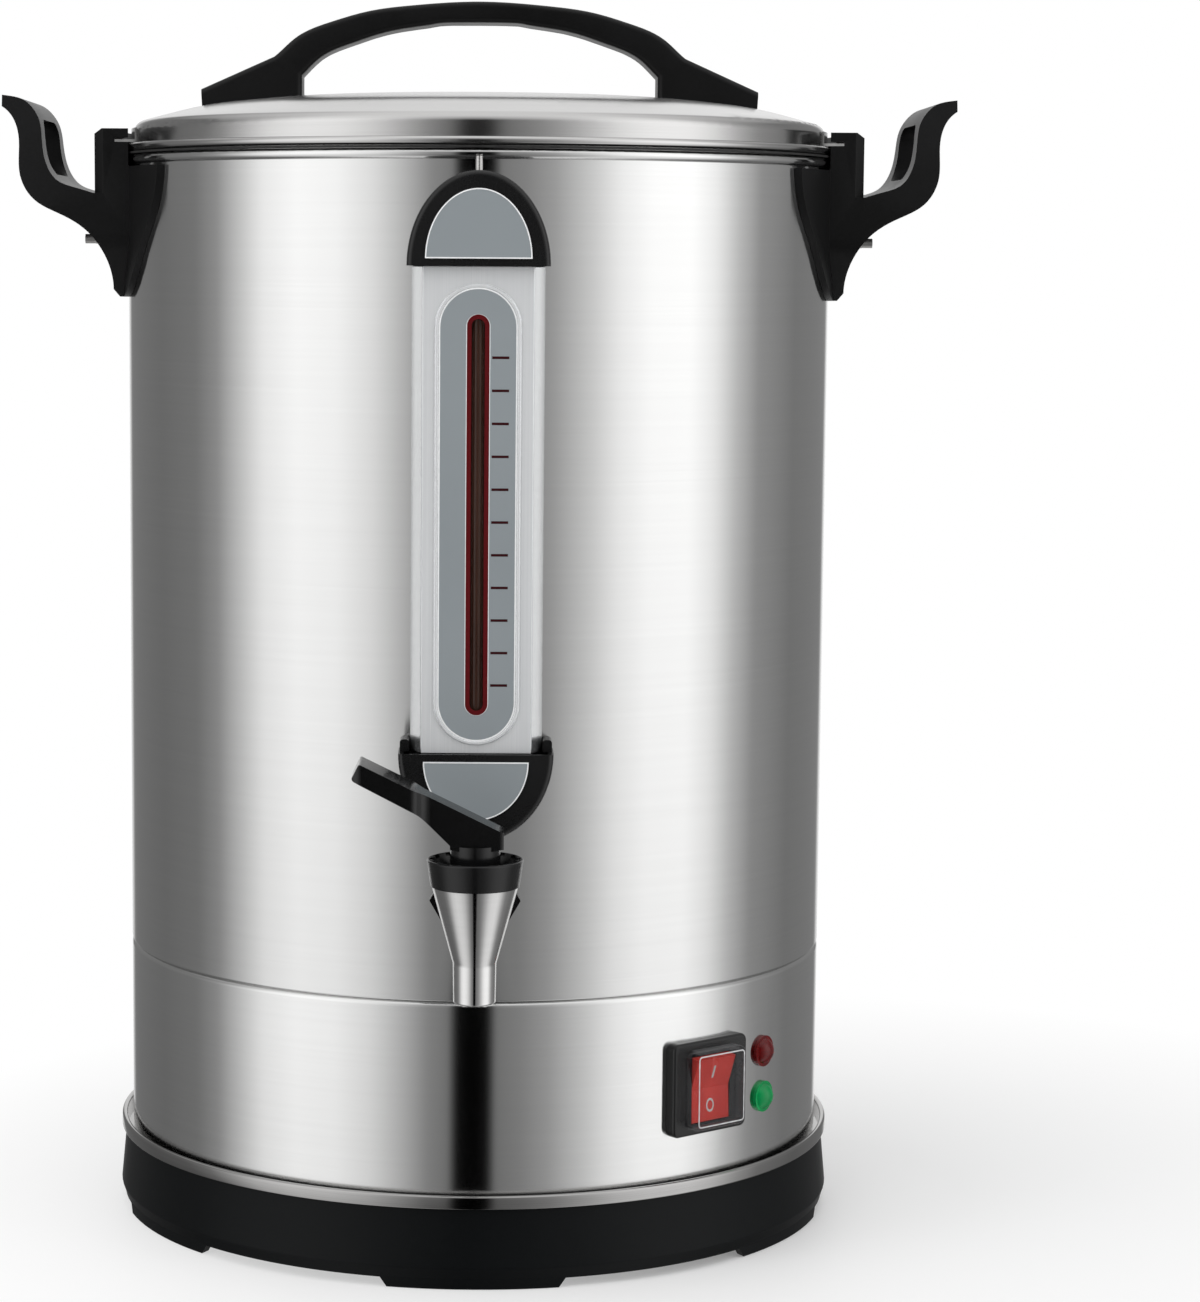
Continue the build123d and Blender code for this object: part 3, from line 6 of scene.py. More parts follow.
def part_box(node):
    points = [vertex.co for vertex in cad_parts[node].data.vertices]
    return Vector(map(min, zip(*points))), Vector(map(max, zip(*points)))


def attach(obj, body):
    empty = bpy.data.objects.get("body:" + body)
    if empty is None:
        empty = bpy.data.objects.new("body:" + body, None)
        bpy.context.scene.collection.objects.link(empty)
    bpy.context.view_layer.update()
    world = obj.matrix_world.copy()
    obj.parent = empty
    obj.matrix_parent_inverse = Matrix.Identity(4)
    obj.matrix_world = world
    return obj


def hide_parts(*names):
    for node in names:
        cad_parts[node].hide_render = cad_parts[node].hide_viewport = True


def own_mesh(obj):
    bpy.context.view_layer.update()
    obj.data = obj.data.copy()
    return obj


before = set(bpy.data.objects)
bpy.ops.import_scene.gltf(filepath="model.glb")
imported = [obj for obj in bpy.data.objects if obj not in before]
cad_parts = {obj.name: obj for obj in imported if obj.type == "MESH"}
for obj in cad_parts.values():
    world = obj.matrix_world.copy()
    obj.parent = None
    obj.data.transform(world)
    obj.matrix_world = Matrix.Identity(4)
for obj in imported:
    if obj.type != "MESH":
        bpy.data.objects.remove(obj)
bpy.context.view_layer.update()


# ---------------------------------------------------------------- base
# The urn stands on a moulded black base with six feet. It is heat-resistant plastic,
# injection moulded, with the fine spark texture of its tool on every outside face.

class Wire:
    """One socket of a finish, so that its maths reads as maths."""

    def __init__(self, tree, socket=None):
        self.tree = tree
        self.socket = socket

    def node(self, kind, settings={}, inputs={}, output=0):
        """Adds a node, sets it, fills or joins its sockets, and gives one of its outputs."""
        made = self.tree.nodes.new("ShaderNode" + kind)
        for name, value in settings.items():
            if name == "stops":
                while len(made.color_ramp.elements) < len(value):
                    made.color_ramp.elements.new(1.0)
                for stop, (place, colour) in zip(made.color_ramp.elements, value):
                    stop.position = place
                    stop.color = colour
            else:
                setattr(made, name, value)
        for name, value in inputs.items():
            if isinstance(value, Wire):
                self.tree.links.new(value.socket, made.inputs[name])
            else:
                made.inputs[name].default_value = value
        return Wire(self.tree, made.outputs[output])

    def math(self, operation, other=0.0):
        return self.node("Math", {"operation": operation}, {0: self, 1: other})

    def __add__(self, other):
        return self.math("ADD", other)

    def __sub__(self, other):
        return self.math("SUBTRACT", other)

    def __rsub__(self, other):
        return self.math("MULTIPLY", -1.0).math("ADD", other)

    def __mul__(self, other):
        return self.math("MULTIPLY", other)

    __radd__ = __add__
    __rmul__ = __mul__

    def ramp(self, low, high):
        """0 below low, 1 above high, straight between."""
        return self.node("MapRange", {}, {0: self, 1: low, 2: high})

    def between(self, first, second):
        """A colour: the first where this is 0, the second where it is 1."""
        factor, a_colour, b_colour, mixed_colour = 0, 6, 7, 2
        return self.node("Mix", {"data_type": "RGBA"}, {factor: self, a_colour: first, b_colour: second},
                         mixed_colour)

    def part(self, letter):
        """The X, Y or Z of a vector."""
        return self.node("SeparateXYZ", {}, {0: self}, letter)

    def length(self):
        """How long a vector is."""
        return self.node("VectorMath", {"operation": "LENGTH"}, {0: self}, "Value")

    def stretched(self, scale):
        """A vector or a colour, each part of it times its own number."""
        return self.node("VectorMath", {"operation": "MULTIPLY"}, {0: self, 1: scale})

    def noise(self, scale, detail, rough=0.5):
        """A cloudy pattern from 0 to 1, with this many patches to each unit of the coordinates."""
        return self.node("TexNoise", {}, {"Vector": self, "Scale": scale, "Detail": detail,
                                          "Roughness": rough})

    def relief(self, strength, depth):
        """A normal from this height."""
        return self.node("Bump", {}, {"Height": self, "Strength": strength, "Distance": depth})

    def feeds(self, shader, socket):
        """Joins this to a socket of a shader."""
        self.tree.links.new(self.socket, shader.inputs[socket])


def finish_named(name, plain):
    """A new material, its shader with the plain sockets set, and the piece's own coordinates."""
    material = bpy.data.materials.new(name)
    material.use_nodes = True
    shader = material.node_tree.nodes["Principled BSDF"]
    for socket, value in plain.items():
        shader.inputs[socket].default_value = value
    place = Wire(material.node_tree).node("TexCoord", output="Object")
    return material, shader, place


def dress(material, *names):
    """Gives nodes of the frame their finish."""
    for name in names:
        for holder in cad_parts[name].material_slots:
            holder.material = material


def black_moulding(name, dark, pale, gloss, grain_size, grain_depth, shine=0.5):
    """Black moulded plastic: a fine even tool texture, faintly cloudy in tone and in dullness."""
    material, shader, place = finish_named(name, {"IOR": 1.5, "Specular IOR Level": shine})
    cloud = place.noise(14.0, 4.0)
    speck = place.noise(1.0 / grain_size, 2.0, 0.6)
    (cloud * 0.7 + speck * 0.3).ramp(0.35, 0.7).between(dark, pale).feeds(shader, "Base Color")
    (cloud.ramp(0.3, 0.75) * 0.10 + speck * 0.06 + gloss).feeds(shader, "Roughness")
    speck.relief(0.5, grain_depth).feeds(shader, "Normal")
    return material


base_plastic = black_moulding("base_plastic", (0.0024, 0.0030, 0.0034, 1), (0.0044, 0.0052, 0.0058, 1),
                              gloss=0.30, grain_size=0.0011, grain_depth=0.00005, shine=0.12)
dress(base_plastic, "base")


# ---------------------------------------------------------------- trim ring
# A spun stainless ring sits on the base and frames the foot of the skirt. It is polished
# on the lathe, so its very fine lines run round it.

touching = 1e-6                       # corners this near each other, in metres, are one
smooth_below = math.radians(32)       # faces that meet at less than this shade as one curve


def only(piece):
    """Selects one piece alone, for the tools that follow."""
    bpy.ops.object.select_all(action="DESELECT")
    piece.select_set(True)
    bpy.context.view_layer.objects.active = piece


def copied(node, name, turn=0.0):
    """A copy of a node's mesh to work on, turned back about the urn's axis by an angle."""
    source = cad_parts[node]
    piece = bpy.data.objects.new(name, source.data.copy())
    bpy.context.collection.objects.link(piece)
    piece.data.transform(Matrix.Rotation(-turn, 4, "Z") @ source.matrix_world)
    only(piece)
    if piece.data.has_custom_normals:
        bpy.ops.mesh.customdata_custom_splitnormals_clear()
    return piece


def faces_outwards():
    """Turns every face of the piece that is being edited outwards."""
    bpy.ops.mesh.select_all(action="SELECT")
    bpy.ops.mesh.normals_make_consistent(inside=False)


def taken_over(node, name):
    """A node's mesh as one clean piece in its place: joined, in quads, smooth between its edges."""
    piece = copied(node, name)
    bpy.ops.object.mode_set(mode="EDIT")
    bpy.ops.mesh.select_all(action="SELECT")
    bpy.ops.mesh.remove_doubles(threshold=touching)
    faces_outwards()
    bpy.ops.mesh.tris_convert_to_quads(face_threshold=math.radians(40), shape_threshold=math.radians(60))
    bpy.ops.object.mode_set(mode="OBJECT")
    bpy.ops.object.shade_smooth_by_angle(angle=smooth_below)
    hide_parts(node)
    return piece


def even_bead(piece, radius, level, thick, first, last, steps):
    """Rebuilds a rounded edge round the urn in even rings, so that light follows it unbroken.

    The bead is this thick from its middle line, which has this radius and level, and it runs
    from the first to the last angle, where 0 points away from the urn and 90 up.
    """
    mesh = piece.data
    near_enough, degrees_apart = 0.00004, 3

    def place_on_bead(corner):
        outwards = math.hypot(corner.x, corner.y) - radius
        upwards = corner.z - level
        on_it = abs(math.hypot(outwards, upwards) - thick) < near_enough
        return on_it, math.degrees(math.atan2(upwards, outwards))

    def at_angle(corner, wanted):
        on_it, found = place_on_bead(corner)
        return on_it and abs((found - wanted + 180) % 360 - 180) < degrees_apart

    bpy.ops.object.mode_set(mode="EDIT")
    bpy.ops.mesh.select_mode(type="FACE")
    bpy.ops.mesh.select_all(action="DESELECT")
    bpy.ops.object.mode_set(mode="OBJECT")
    for face in mesh.polygons:
        face.select = all(place_on_bead(mesh.vertices[i].co)[0] for i in face.vertices)
    bpy.ops.object.mode_set(mode="EDIT")
    bpy.ops.mesh.delete(type="FACE")
    bpy.ops.mesh.select_mode(type="VERT")
    bpy.ops.mesh.select_all(action="DESELECT")
    bpy.ops.object.mode_set(mode="OBJECT")
    for corner in mesh.vertices:
        corner.select = at_angle(corner.co, first)
    edge = [corner.co for corner in mesh.vertices if corner.select]
    far = sum(math.hypot(corner.x, corner.y) for corner in edge) / len(edge)
    up = sum(corner.z for corner in edge) / len(edge)
    bpy.ops.object.mode_set(mode="EDIT")
    for step in range(1, steps):
        turn = math.radians(first + (last - first) * step / steps)
        new_far, new_up = radius + thick * math.cos(turn), level + thick * math.sin(turn)
        bpy.ops.mesh.extrude_region_move(TRANSFORM_OT_translate={"value": (0, 0, new_up - up)})
        bpy.ops.transform.resize(value=(new_far / far, new_far / far, 1), center_override=(0, 0, 0))
        far, up = new_far, new_up
    bpy.ops.object.mode_set(mode="OBJECT")
    for corner in mesh.vertices:
        corner.select = corner.select or at_angle(corner.co, last)
    bpy.ops.object.mode_set(mode="EDIT")
    bpy.ops.mesh.bridge_edge_loops()
    faces_outwards()
    bpy.ops.object.mode_set(mode="OBJECT")
    bpy.ops.object.shade_smooth_by_angle(angle=smooth_below)


def fix_on(piece, body, finish):
    """Gives a finished piece its material and the body it moves with."""
    piece.data.materials.clear()
    piece.data.materials.append(finish)
    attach(piece, body)


def round_lines(place, across, along):
    """Coordinates whose pattern is drawn out round the urn's axis."""
    from_axis = place.stretched((1.0, 1.0, 0.0)).length()
    return place.node("CombineXYZ", {}, {"X": place.part("X") * along,
                                         "Y": place.part("Y") * along,
                                         "Z": (place.part("Z") + from_axis) * across})


def steel(name, colour, shade, dull, spread, grain_depth, across=2600.0, along=7.0, wrap=True):
    """Stainless steel with drawn-out grain, slightly uneven in tone and in dullness."""
    material, shader, place = finish_named(name, {"Metallic": 1.0})
    lines = round_lines(place, across, along) if wrap else place.stretched((along, along, across))
    fine = lines.noise(1.0, 3.0, 0.65)
    broad = lines.stretched((1.0, 1.0, 0.12)).noise(1.0, 2.0, 0.5)
    smear = place.noise(6.0, 3.0, 0.55)
    tone = (fine * 0.55 + broad * 0.3 + smear * 0.15).ramp(0.34, 0.66)
    tone.between(shade, colour).feeds(shader, "Base Color")
    (dull + (fine * 0.5 + smear * 0.5).ramp(0.3, 0.7) * spread).feeds(shader, "Roughness")
    (fine * 0.7 + broad * 0.3).relief(0.6, grain_depth).feeds(shader, "Normal")
    return material


# The ring's steel is set darker than the body's, as painted shade over the polished ring.
shaded_ring_steel = steel("shaded_ring_steel", (0.44, 0.435, 0.43, 1), (0.38, 0.375, 0.37, 1),
                   dull=0.07, spread=0.05, grain_depth=0.000002)
hoop = taken_over("base_trim_ring", "spun_trim_ring")
even_bead(hoop, radius=0.1538, level=0.0374, thick=0.0011, first=0, last=112, steps=8)
even_bead(hoop, radius=0.1543, level=0.0336, thick=0.0006, first=-90, last=0, steps=5)
fix_on(hoop, "urn", shaded_ring_steel)


# ---------------------------------------------------------------- skirt and tank
# Skirt and tank are rolled from stainless sheet and brushed round the body with a belt,
# so light is drawn out up and down the wall and the fine lines run round it.

body_steel = steel("body_steel", (0.755, 0.755, 0.75, 1), (0.725, 0.725, 0.72, 1),
                   dull=0.12, spread=0.035, grain_depth=0.0000015)
belt_brushed = body_steel.node_tree.nodes["Principled BSDF"]
belt_brushed.inputs["Anisotropic"].default_value = 0.9
belt_brushed.inputs["Anisotropic Rotation"].default_value = 0.25
skirt = taken_over("skirt", "rolled_skirt")
even_bead(skirt, radius=0.1475, level=0.1140, thick=0.0025, first=0, last=90, steps=10)
fix_on(skirt, "urn", body_steel)
tank = taken_over("tank", "rolled_tank")
even_bead(tank, radius=0.1496, level=0.4506, thick=0.0021, first=-80, last=260, steps=28)
fix_on(tank, "urn", body_steel)


# ---------------------------------------------------------------- cover under the base
# A stamped stainless plate closes the urn from below. Three rods clamp base, skirt and
# tank to each other through it.

cover_steel = steel("cover_steel", (0.62, 0.62, 0.61, 1), (0.52, 0.52, 0.51, 1),
                    dull=0.30, spread=0.12, grain_depth=0.000012,
                    across=1500.0, along=1500.0, wrap=False)
bolt_steel = steel("bolt_steel", (0.66, 0.65, 0.64, 1), (0.54, 0.53, 0.52, 1),
                   dull=0.24, spread=0.12, grain_depth=0.000008,
                   across=3200.0, along=900.0, wrap=False)
dress(cover_steel, "bottom_cover")
dress(bolt_steel, "tie_rods", "tie_nuts", "handle_bolts", "handle_nuts")


# ---------------------------------------------------------------- heater
# A cast aluminium plate with a sheathed element warms the tank from below. Its thermostat
# and cutout are ivory phenolic, and the element's sheath has darkened with heat.

cast_metal, cast_shader, cast_place = finish_named("cast_metal", {"Metallic": 1.0})
pits = cast_place.noise(420.0, 4.0, 0.6)
metal_tone = pits.ramp(0.3, 0.7).between((0.44, 0.44, 0.44, 1), (0.62, 0.62, 0.62, 1))
metal_tone.feeds(cast_shader, "Base Color")
(pits * 0.2 + 0.42).feeds(cast_shader, "Roughness")
pits.relief(0.5, 0.00025).feeds(cast_shader, "Normal")
dress(cast_metal, "heater_plate")

sheath, sheath_shader, sheath_place = finish_named("element_sheath", {"Metallic": 1.0})
heat_stain = sheath_place.noise(38.0, 4.0, 0.6)
burnt_tone = heat_stain.ramp(0.35, 0.65).between((0.20, 0.15, 0.12, 1), (0.36, 0.35, 0.36, 1))
burnt_tone.feeds(sheath_shader, "Base Color")
(heat_stain * 0.25 + 0.3).feeds(sheath_shader, "Roughness")
dress(sheath, "heating_element")

ivory, ivory_shader, ivory_place = finish_named("ivory_phenolic", {"IOR": 1.5})
flecks = ivory_place.noise(620.0, 3.0, 0.6)
ivory_tone = flecks.ramp(0.35, 0.65).between((0.46, 0.42, 0.32, 1), (0.60, 0.56, 0.45, 1))
ivory_tone.feeds(ivory_shader, "Base Color")
(flecks * 0.15 + 0.38).feeds(ivory_shader, "Roughness")
flecks.relief(0.4, 0.00005).feeds(ivory_shader, "Normal")
dress(ivory, "thermostat", "thermal_cutout", "terminal_block")


# ---------------------------------------------------------------- power inlet
# A standard appliance inlet at the back of the skirt, moulded in black, with three plated
# blades and two countersunk screws.

inlet_plastic = black_moulding("inlet_plastic", (0.012, 0.012, 0.012, 1), (0.020, 0.020, 0.021, 1),
                               gloss=0.32, grain_size=0.0008, grain_depth=0.00004)
dress(inlet_plastic, "power_inlet")
blade_plate = steel("blade_plate", (0.78, 0.77, 0.74, 1), (0.66, 0.65, 0.61, 1),
                    dull=0.16, spread=0.10, grain_depth=0.000006,
                    across=900.0, along=2400.0, wrap=False)
dress(blade_plate, "inlet_pins")
dress(bolt_steel, "inlet_screws")


# ---------------------------------------------------------------- switch and lamps
# The rocker switch snaps into the skirt in its black frame. A clear soft boot keeps steam off
# the red rocker; a pale line round its front edge is a painted highlight. Two moulded lenses
# beside it light up when the urn boils and when it keeps warm.

switch_plastic = black_moulding("switch_plastic", (0.005, 0.005, 0.005, 1), (0.009, 0.009, 0.0095, 1),
                                gloss=0.18, grain_size=0.0009, grain_depth=0.00002, shine=0.4)
dress(switch_plastic, "switch_frame")


def tinted(name, deep, bright, dull, through):
    """Dyed see-through plastic, a little streaky from its moulding."""
    material, shader, place = finish_named(name, {"IOR": 1.49, "Specular IOR Level": 0.3,
                                                  "Transmission Weight": through})
    flow = place.stretched((120.0, 120.0, 40.0)).noise(1.0, 3.0, 0.5)
    flow.ramp(0.3, 0.7).between(deep, bright).feeds(shader, "Base Color")
    (flow * 0.08 + dull).feeds(shader, "Roughness")
    flow.relief(0.25, 0.0001).feeds(shader, "Normal")
    return material


red_rocker = tinted("red_rocker", (0.56, 0.030, 0.020, 1), (0.74, 0.055, 0.038, 1), dull=0.22, through=0.05)
dress(red_rocker, "switch_rocker")

clear_boot, boot_shader, boot_place = finish_named("clear_boot", {"IOR": 1.41})
film = boot_place.noise(70.0, 3.0)
steep = film.node("LayerWeight", {}, {"Blend": 0.3}, "Facing")
(steep.ramp(0.35, 0.95) * 0.55 + film * 0.06 + 0.09).feeds(boot_shader, "Alpha")
# The boot turns paler and more solid where its surface turns away from view: a painted sheen on its rim.
boot_rim_sheen = steep.ramp(0.4, 0.95).between((0.05, 0.05, 0.055, 1), (0.62, 0.62, 0.63, 1))
boot_rim_sheen.feeds(boot_shader, "Base Color")
(film * 0.05 + 0.02).feeds(boot_shader, "Roughness")
dress(clear_boot, "switch_boot")

red_lens = tinted("red_lens", (0.105, 0.003, 0.004, 1), (0.18, 0.006, 0.006, 1), dull=0.07, through=0.25)
dress(red_lens, "lamp_red")
green_lens = tinted("green_lens", (0.001, 0.24, 0.060, 1), (0.003, 0.40, 0.11, 1), dull=0.07, through=0.25)
dress(green_lens, "lamp_green")


def edge_line(node, name, wide, proud, finish, facing=0.0):
    """A thin raised line round the front of a part, made from the part's own outline, to carry a painted
    highlight.
    """
    piece = copied(node, name, facing)
    front = min(corner.co.y for corner in piece.data.vertices)
    straight_on, front_depth = -0.99, 0.0002
    bpy.ops.object.mode_set(mode="EDIT")
    bpy.ops.mesh.select_mode(type="FACE")
    bpy.ops.mesh.select_all(action="DESELECT")
    bpy.ops.object.mode_set(mode="OBJECT")
    for face in piece.data.polygons:
        face.select = face.normal.y > straight_on or face.center.y > front + front_depth
    bpy.ops.object.mode_set(mode="EDIT")
    bpy.ops.mesh.delete(type="FACE")
    bpy.ops.mesh.select_all(action="SELECT")
    bpy.ops.mesh.remove_doubles(threshold=touching)
    bpy.ops.mesh.inset(thickness=wide, depth=0)
    bpy.ops.mesh.delete(type="FACE")
    bpy.ops.mesh.select_all(action="SELECT")
    bpy.ops.mesh.extrude_region_move(TRANSFORM_OT_translate={"value": (0, -proud, 0)})
    faces_outwards()
    bpy.ops.object.mode_set(mode="OBJECT")
    piece.data.transform(Matrix.Rotation(facing, 4, "Z"))
    fix_on(piece, "urn", finish)


# A pale, half-clear line raised round the boot's front stands in for light on its edge: a painted
# highlight.
boot_edge_highlight, edge_shader, edge_place = finish_named("boot_edge_highlight", {"IOR": 1.41})
boot_highlight_mottle = edge_place.noise(300.0, 3.0)
boot_highlight_tone = boot_highlight_mottle.ramp(0.3, 0.7).between((0.58, 0.58, 0.59, 1), (0.82, 0.82, 0.83, 1))
boot_highlight_tone.feeds(edge_shader, "Base Color")
(boot_highlight_mottle * 0.2 + 0.15).feeds(edge_shader, "Roughness")
(boot_highlight_mottle * 0.3 + 0.65).feeds(edge_shader, "Alpha")
switch_turn = math.radians(39.0)      # how far round the skirt from the front the switch sits
edge_line("switch_boot", "boot_front_highlight", 0.00055, 0.00003, boot_edge_highlight, switch_turn)

mark_white, mark_shader, mark_place = finish_named("mark_white", {"IOR": 1.5})
worn = mark_place.noise(900.0, 3.0, 0.6)
worn_tone = worn.ramp(0.3, 0.7).between((0.52, 0.52, 0.50, 1), (0.68, 0.68, 0.66, 1))
worn_tone.feeds(mark_shader, "Base Color")
(worn * 0.15 + 0.38).feeds(mark_shader, "Roughness")
worn.relief(0.3, 0.00002).feeds(mark_shader, "Normal")

throw = math.radians(8.0)             # the rocker's lean at rest, off
pivot_out, pivot_up = 148.2, 75.7     # its pivot, in mm from the urn's axis and from the floor
face_out = 155.4                      # its face's ends, in mm from the urn's axis
dish_deep, half_tall = 2.4, 13.4      # how far the face is hollowed, in mm, over this half height
dish_lean = math.atan(dish_deep / half_tall)
mark_up = 7.2                         # each mark's middle, in mm from the middle of the face
stroke_size = (0.0010, 0.0056, 0.00016)
ring_radius, ring_line, ring_squeezed = 0.0021, 0.0004, (0.85, 1.15, 0.25)


def on_rocker(height):
    """Place and turn of a mark printed on the rocker's face, above or below its middle."""
    back = -(face_out - dish_deep + dish_deep * abs(height) / half_tall - pivot_out)
    away = -pivot_out + back * math.cos(throw) - height * math.sin(throw)
    level = pivot_up + back * math.sin(throw) + height * math.cos(throw)
    lean = math.pi / 2 + throw + (dish_lean if height > 0 else -dish_lean)
    spot = (-away * math.sin(switch_turn) / 1000, away * math.cos(switch_turn) / 1000, level / 1000)
    return spot, (lean, 0, switch_turn)


bpy.ops.object.select_all(action="DESELECT")
spot, lean = on_rocker(mark_up)
bpy.ops.mesh.primitive_cube_add(size=1.0, location=spot, rotation=lean)
stroke = bpy.context.object
stroke.name = "rocker_mark_on"
stroke.scale = stroke_size
bpy.ops.object.transform_apply(location=False, rotation=False, scale=True)
bpy.ops.object.mode_set(mode="EDIT")
bpy.ops.mesh.select_all(action="SELECT")
bpy.ops.mesh.bevel(offset=0.00006, segments=2, affect="EDGES")
bpy.ops.object.mode_set(mode="OBJECT")
spot, lean = on_rocker(-mark_up)
bpy.ops.mesh.primitive_torus_add(location=spot, rotation=lean, major_radius=ring_radius,
                                 minor_radius=ring_line, major_segments=48, minor_segments=10)
ring = bpy.context.object
ring.name = "rocker_mark_off"
ring.scale = ring_squeezed
for mark in (stroke, ring):
    only(mark)
    bpy.ops.object.transform_apply(location=True, rotation=True, scale=True)
    bpy.ops.object.shade_smooth_by_angle(angle=math.radians(40))
    mark.data.materials.append(mark_white)
    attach(mark, "rocker")


# ---------------------------------------------------------------- tap
# The draw-off tap is turned and polished stainless, held through the wall by a black nut. Its
# bonnet and lever are black mouldings, and the lever lifts a stem with a soft seat against a
# spring.

tap_steel = steel("tap_steel", (0.76, 0.755, 0.75, 1), (0.70, 0.695, 0.69, 1),
                  dull=0.07, spread=0.05, grain_depth=0.000004,
                  across=3600.0, along=24.0, wrap=False)
dress(tap_steel, "tap_body")
tap_plastic = black_moulding("tap_plastic", (0.004, 0.004, 0.004, 1), (0.008, 0.008, 0.0085, 1),
                             gloss=0.10, grain_size=0.0010, grain_depth=0.00001, shine=0.4)
dress(tap_plastic, "tap_bonnet", "tap_lever", "tap_lock_nut")
dress(bolt_steel, "tap_nut", "tap_thrust_washer", "tap_stem", "tap_cross_pin")
spring = taken_over("tap_spring", "closing_spring")
fix_on(spring, "tap_turntable", bolt_steel)
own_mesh(spring)

soft, soft_shader, soft_place = finish_named("white_silicone", {"IOR": 1.41, "Subsurface Weight": 0.15})
bloom = soft_place.noise(160.0, 3.0)
bloom_tone = bloom.ramp(0.3, 0.7).between((0.50, 0.50, 0.47, 1), (0.66, 0.66, 0.63, 1))
bloom_tone.feeds(soft_shader, "Base Color")
(bloom * 0.15 + 0.45).feeds(soft_shader, "Roughness")
bloom.relief(0.3, 0.00005).feeds(soft_shader, "Normal")
dress(soft, "tap_washers", "tap_seat_cup", "gauge_seals")


# ---------------------------------------------------------------- gauge
# The sight gauge is an extruded aluminium channel, anodised, with die lines along it. It
# holds a glass tube behind a grey printed plate, between two black moulded end caps. Pale
# lines round the cut edges of the grey plates are painted highlights.

def round_over(piece, width, least):
    """Rounds over the edges that are sharper than an angle, as the tool leaves them."""
    over = piece.modifiers.new("rounded_over", "BEVEL")
    over.limit_method = "ANGLE"
    over.angle_limit = math.radians(least)
    over.width = width
    over.segments = 3
    over.use_clamp_overlap = True
    over.miter_outer = "MITER_ARC"
    bpy.ops.object.modifier_apply(modifier=over.name)
    bpy.ops.object.shade_smooth_by_angle(angle=smooth_below)


channel, channel_shader, channel_place = finish_named("anodised_channel", {"IOR": 1.6})
# The channel turns more metallic on its faces that look sideways, so its sides catch the room's bright
# bands: a painted sheen on the sides.
side_sheen = channel_place.node("NewGeometry", {}, {}, "Normal").part("X").math("ABSOLUTE")
(side_sheen.ramp(0.10, 0.5) * 0.68 + 0.22).feeds(channel_shader, "Metallic")
die_lines = channel_place.stretched((2400.0, 2400.0, 5.0)).noise(1.0, 3.0, 0.6)
channel_tone = die_lines.ramp(0.3, 0.7).between((0.70, 0.715, 0.73, 1), (0.77, 0.78, 0.79, 1))
channel_tone.feeds(channel_shader, "Base Color")
(die_lines * 0.10 + 0.20).feeds(channel_shader, "Roughness")
die_lines.relief(0.12, 0.00001).feeds(channel_shader, "Normal")
housing = taken_over("gauge_housing", "extruded_channel")
round_over(housing, width=0.0005, least=50)
fix_on(housing, "urn", channel)

plate, plate_shader, plate_place = finish_named("grey_plate", {"IOR": 1.5})
eggshell = plate_place.noise(1500.0, 2.0)
paint_cloud = plate_place.noise(9.0, 2.0)
plate_tone = paint_cloud.ramp(0.3, 0.7).between((0.235, 0.262, 0.278, 1), (0.262, 0.290, 0.305, 1))
plate_tone.feeds(plate_shader, "Base Color")
(eggshell * 0.1 + 0.40).feeds(plate_shader, "Roughness")
eggshell.relief(0.4, 0.00003).feeds(plate_shader, "Normal")
dress(plate, "gauge_scale", "gauge_top_insert", "gauge_bottom_insert")


def printing_ink(name, thin, full):
    """Screen-printed ink, a little uneven as it dries."""
    material, shader, place = finish_named(name, {"IOR": 1.5, "Specular IOR Level": 0.15})
    screened = place.noise(1800.0, 2.0)
    screened.ramp(0.3, 0.7).between(thin, full).feeds(shader, "Base Color")
    (screened * 0.1 + 0.42).feeds(shader, "Roughness")
    screened.relief(0.3, 0.00001).feeds(shader, "Normal")
    return material


tick_ink = printing_ink("tick_ink", (0.026, 0.002, 0.004, 1), (0.040, 0.004, 0.006, 1))
dark_red_ink = printing_ink("dark_red_ink", (0.075, 0.0015, 0.003, 1), (0.110, 0.003, 0.005, 1))


def printed_on(piece, name, paint):
    """Finishes a thin print on the plate: placed for good, faces outwards, fixed to the urn."""
    piece.name = name
    bpy.ops.object.transform_apply(location=True, rotation=True, scale=True)
    bpy.ops.object.mode_set(mode="EDIT")
    faces_outwards()
    bpy.ops.object.mode_set(mode="OBJECT")
    piece.data.materials.append(paint)
    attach(piece, "urn")


bpy.ops.object.select_all(action="DESELECT")
plate_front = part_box("gauge_scale")[0][1]
tick_count, top_tick, tick_spacing = 11, 0.3724, 0.01272
tick_aside, tick_proud = 0.0087, 0.00002
tick_size = (0.0066, 0.00006, 0.0010)
for step in range(tick_count):
    tick_place = (tick_aside, plate_front - tick_proud, top_tick - tick_spacing * step)
    bpy.ops.mesh.primitive_cube_add(size=1.0, location=tick_place)
    tick = bpy.context.object
    tick.scale = tick_size
    bpy.ops.object.transform_apply(location=False, rotation=False, scale=True)
    bpy.ops.object.mode_set(mode="EDIT")
    bpy.ops.mesh.select_all(action="SELECT")
    bpy.ops.mesh.bevel(offset=0.00002, segments=1, affect="EDGES")
    bpy.ops.object.mode_set(mode="OBJECT")
    printed_on(tick, "scale_tick_%02d" % (step + 1), tick_ink)

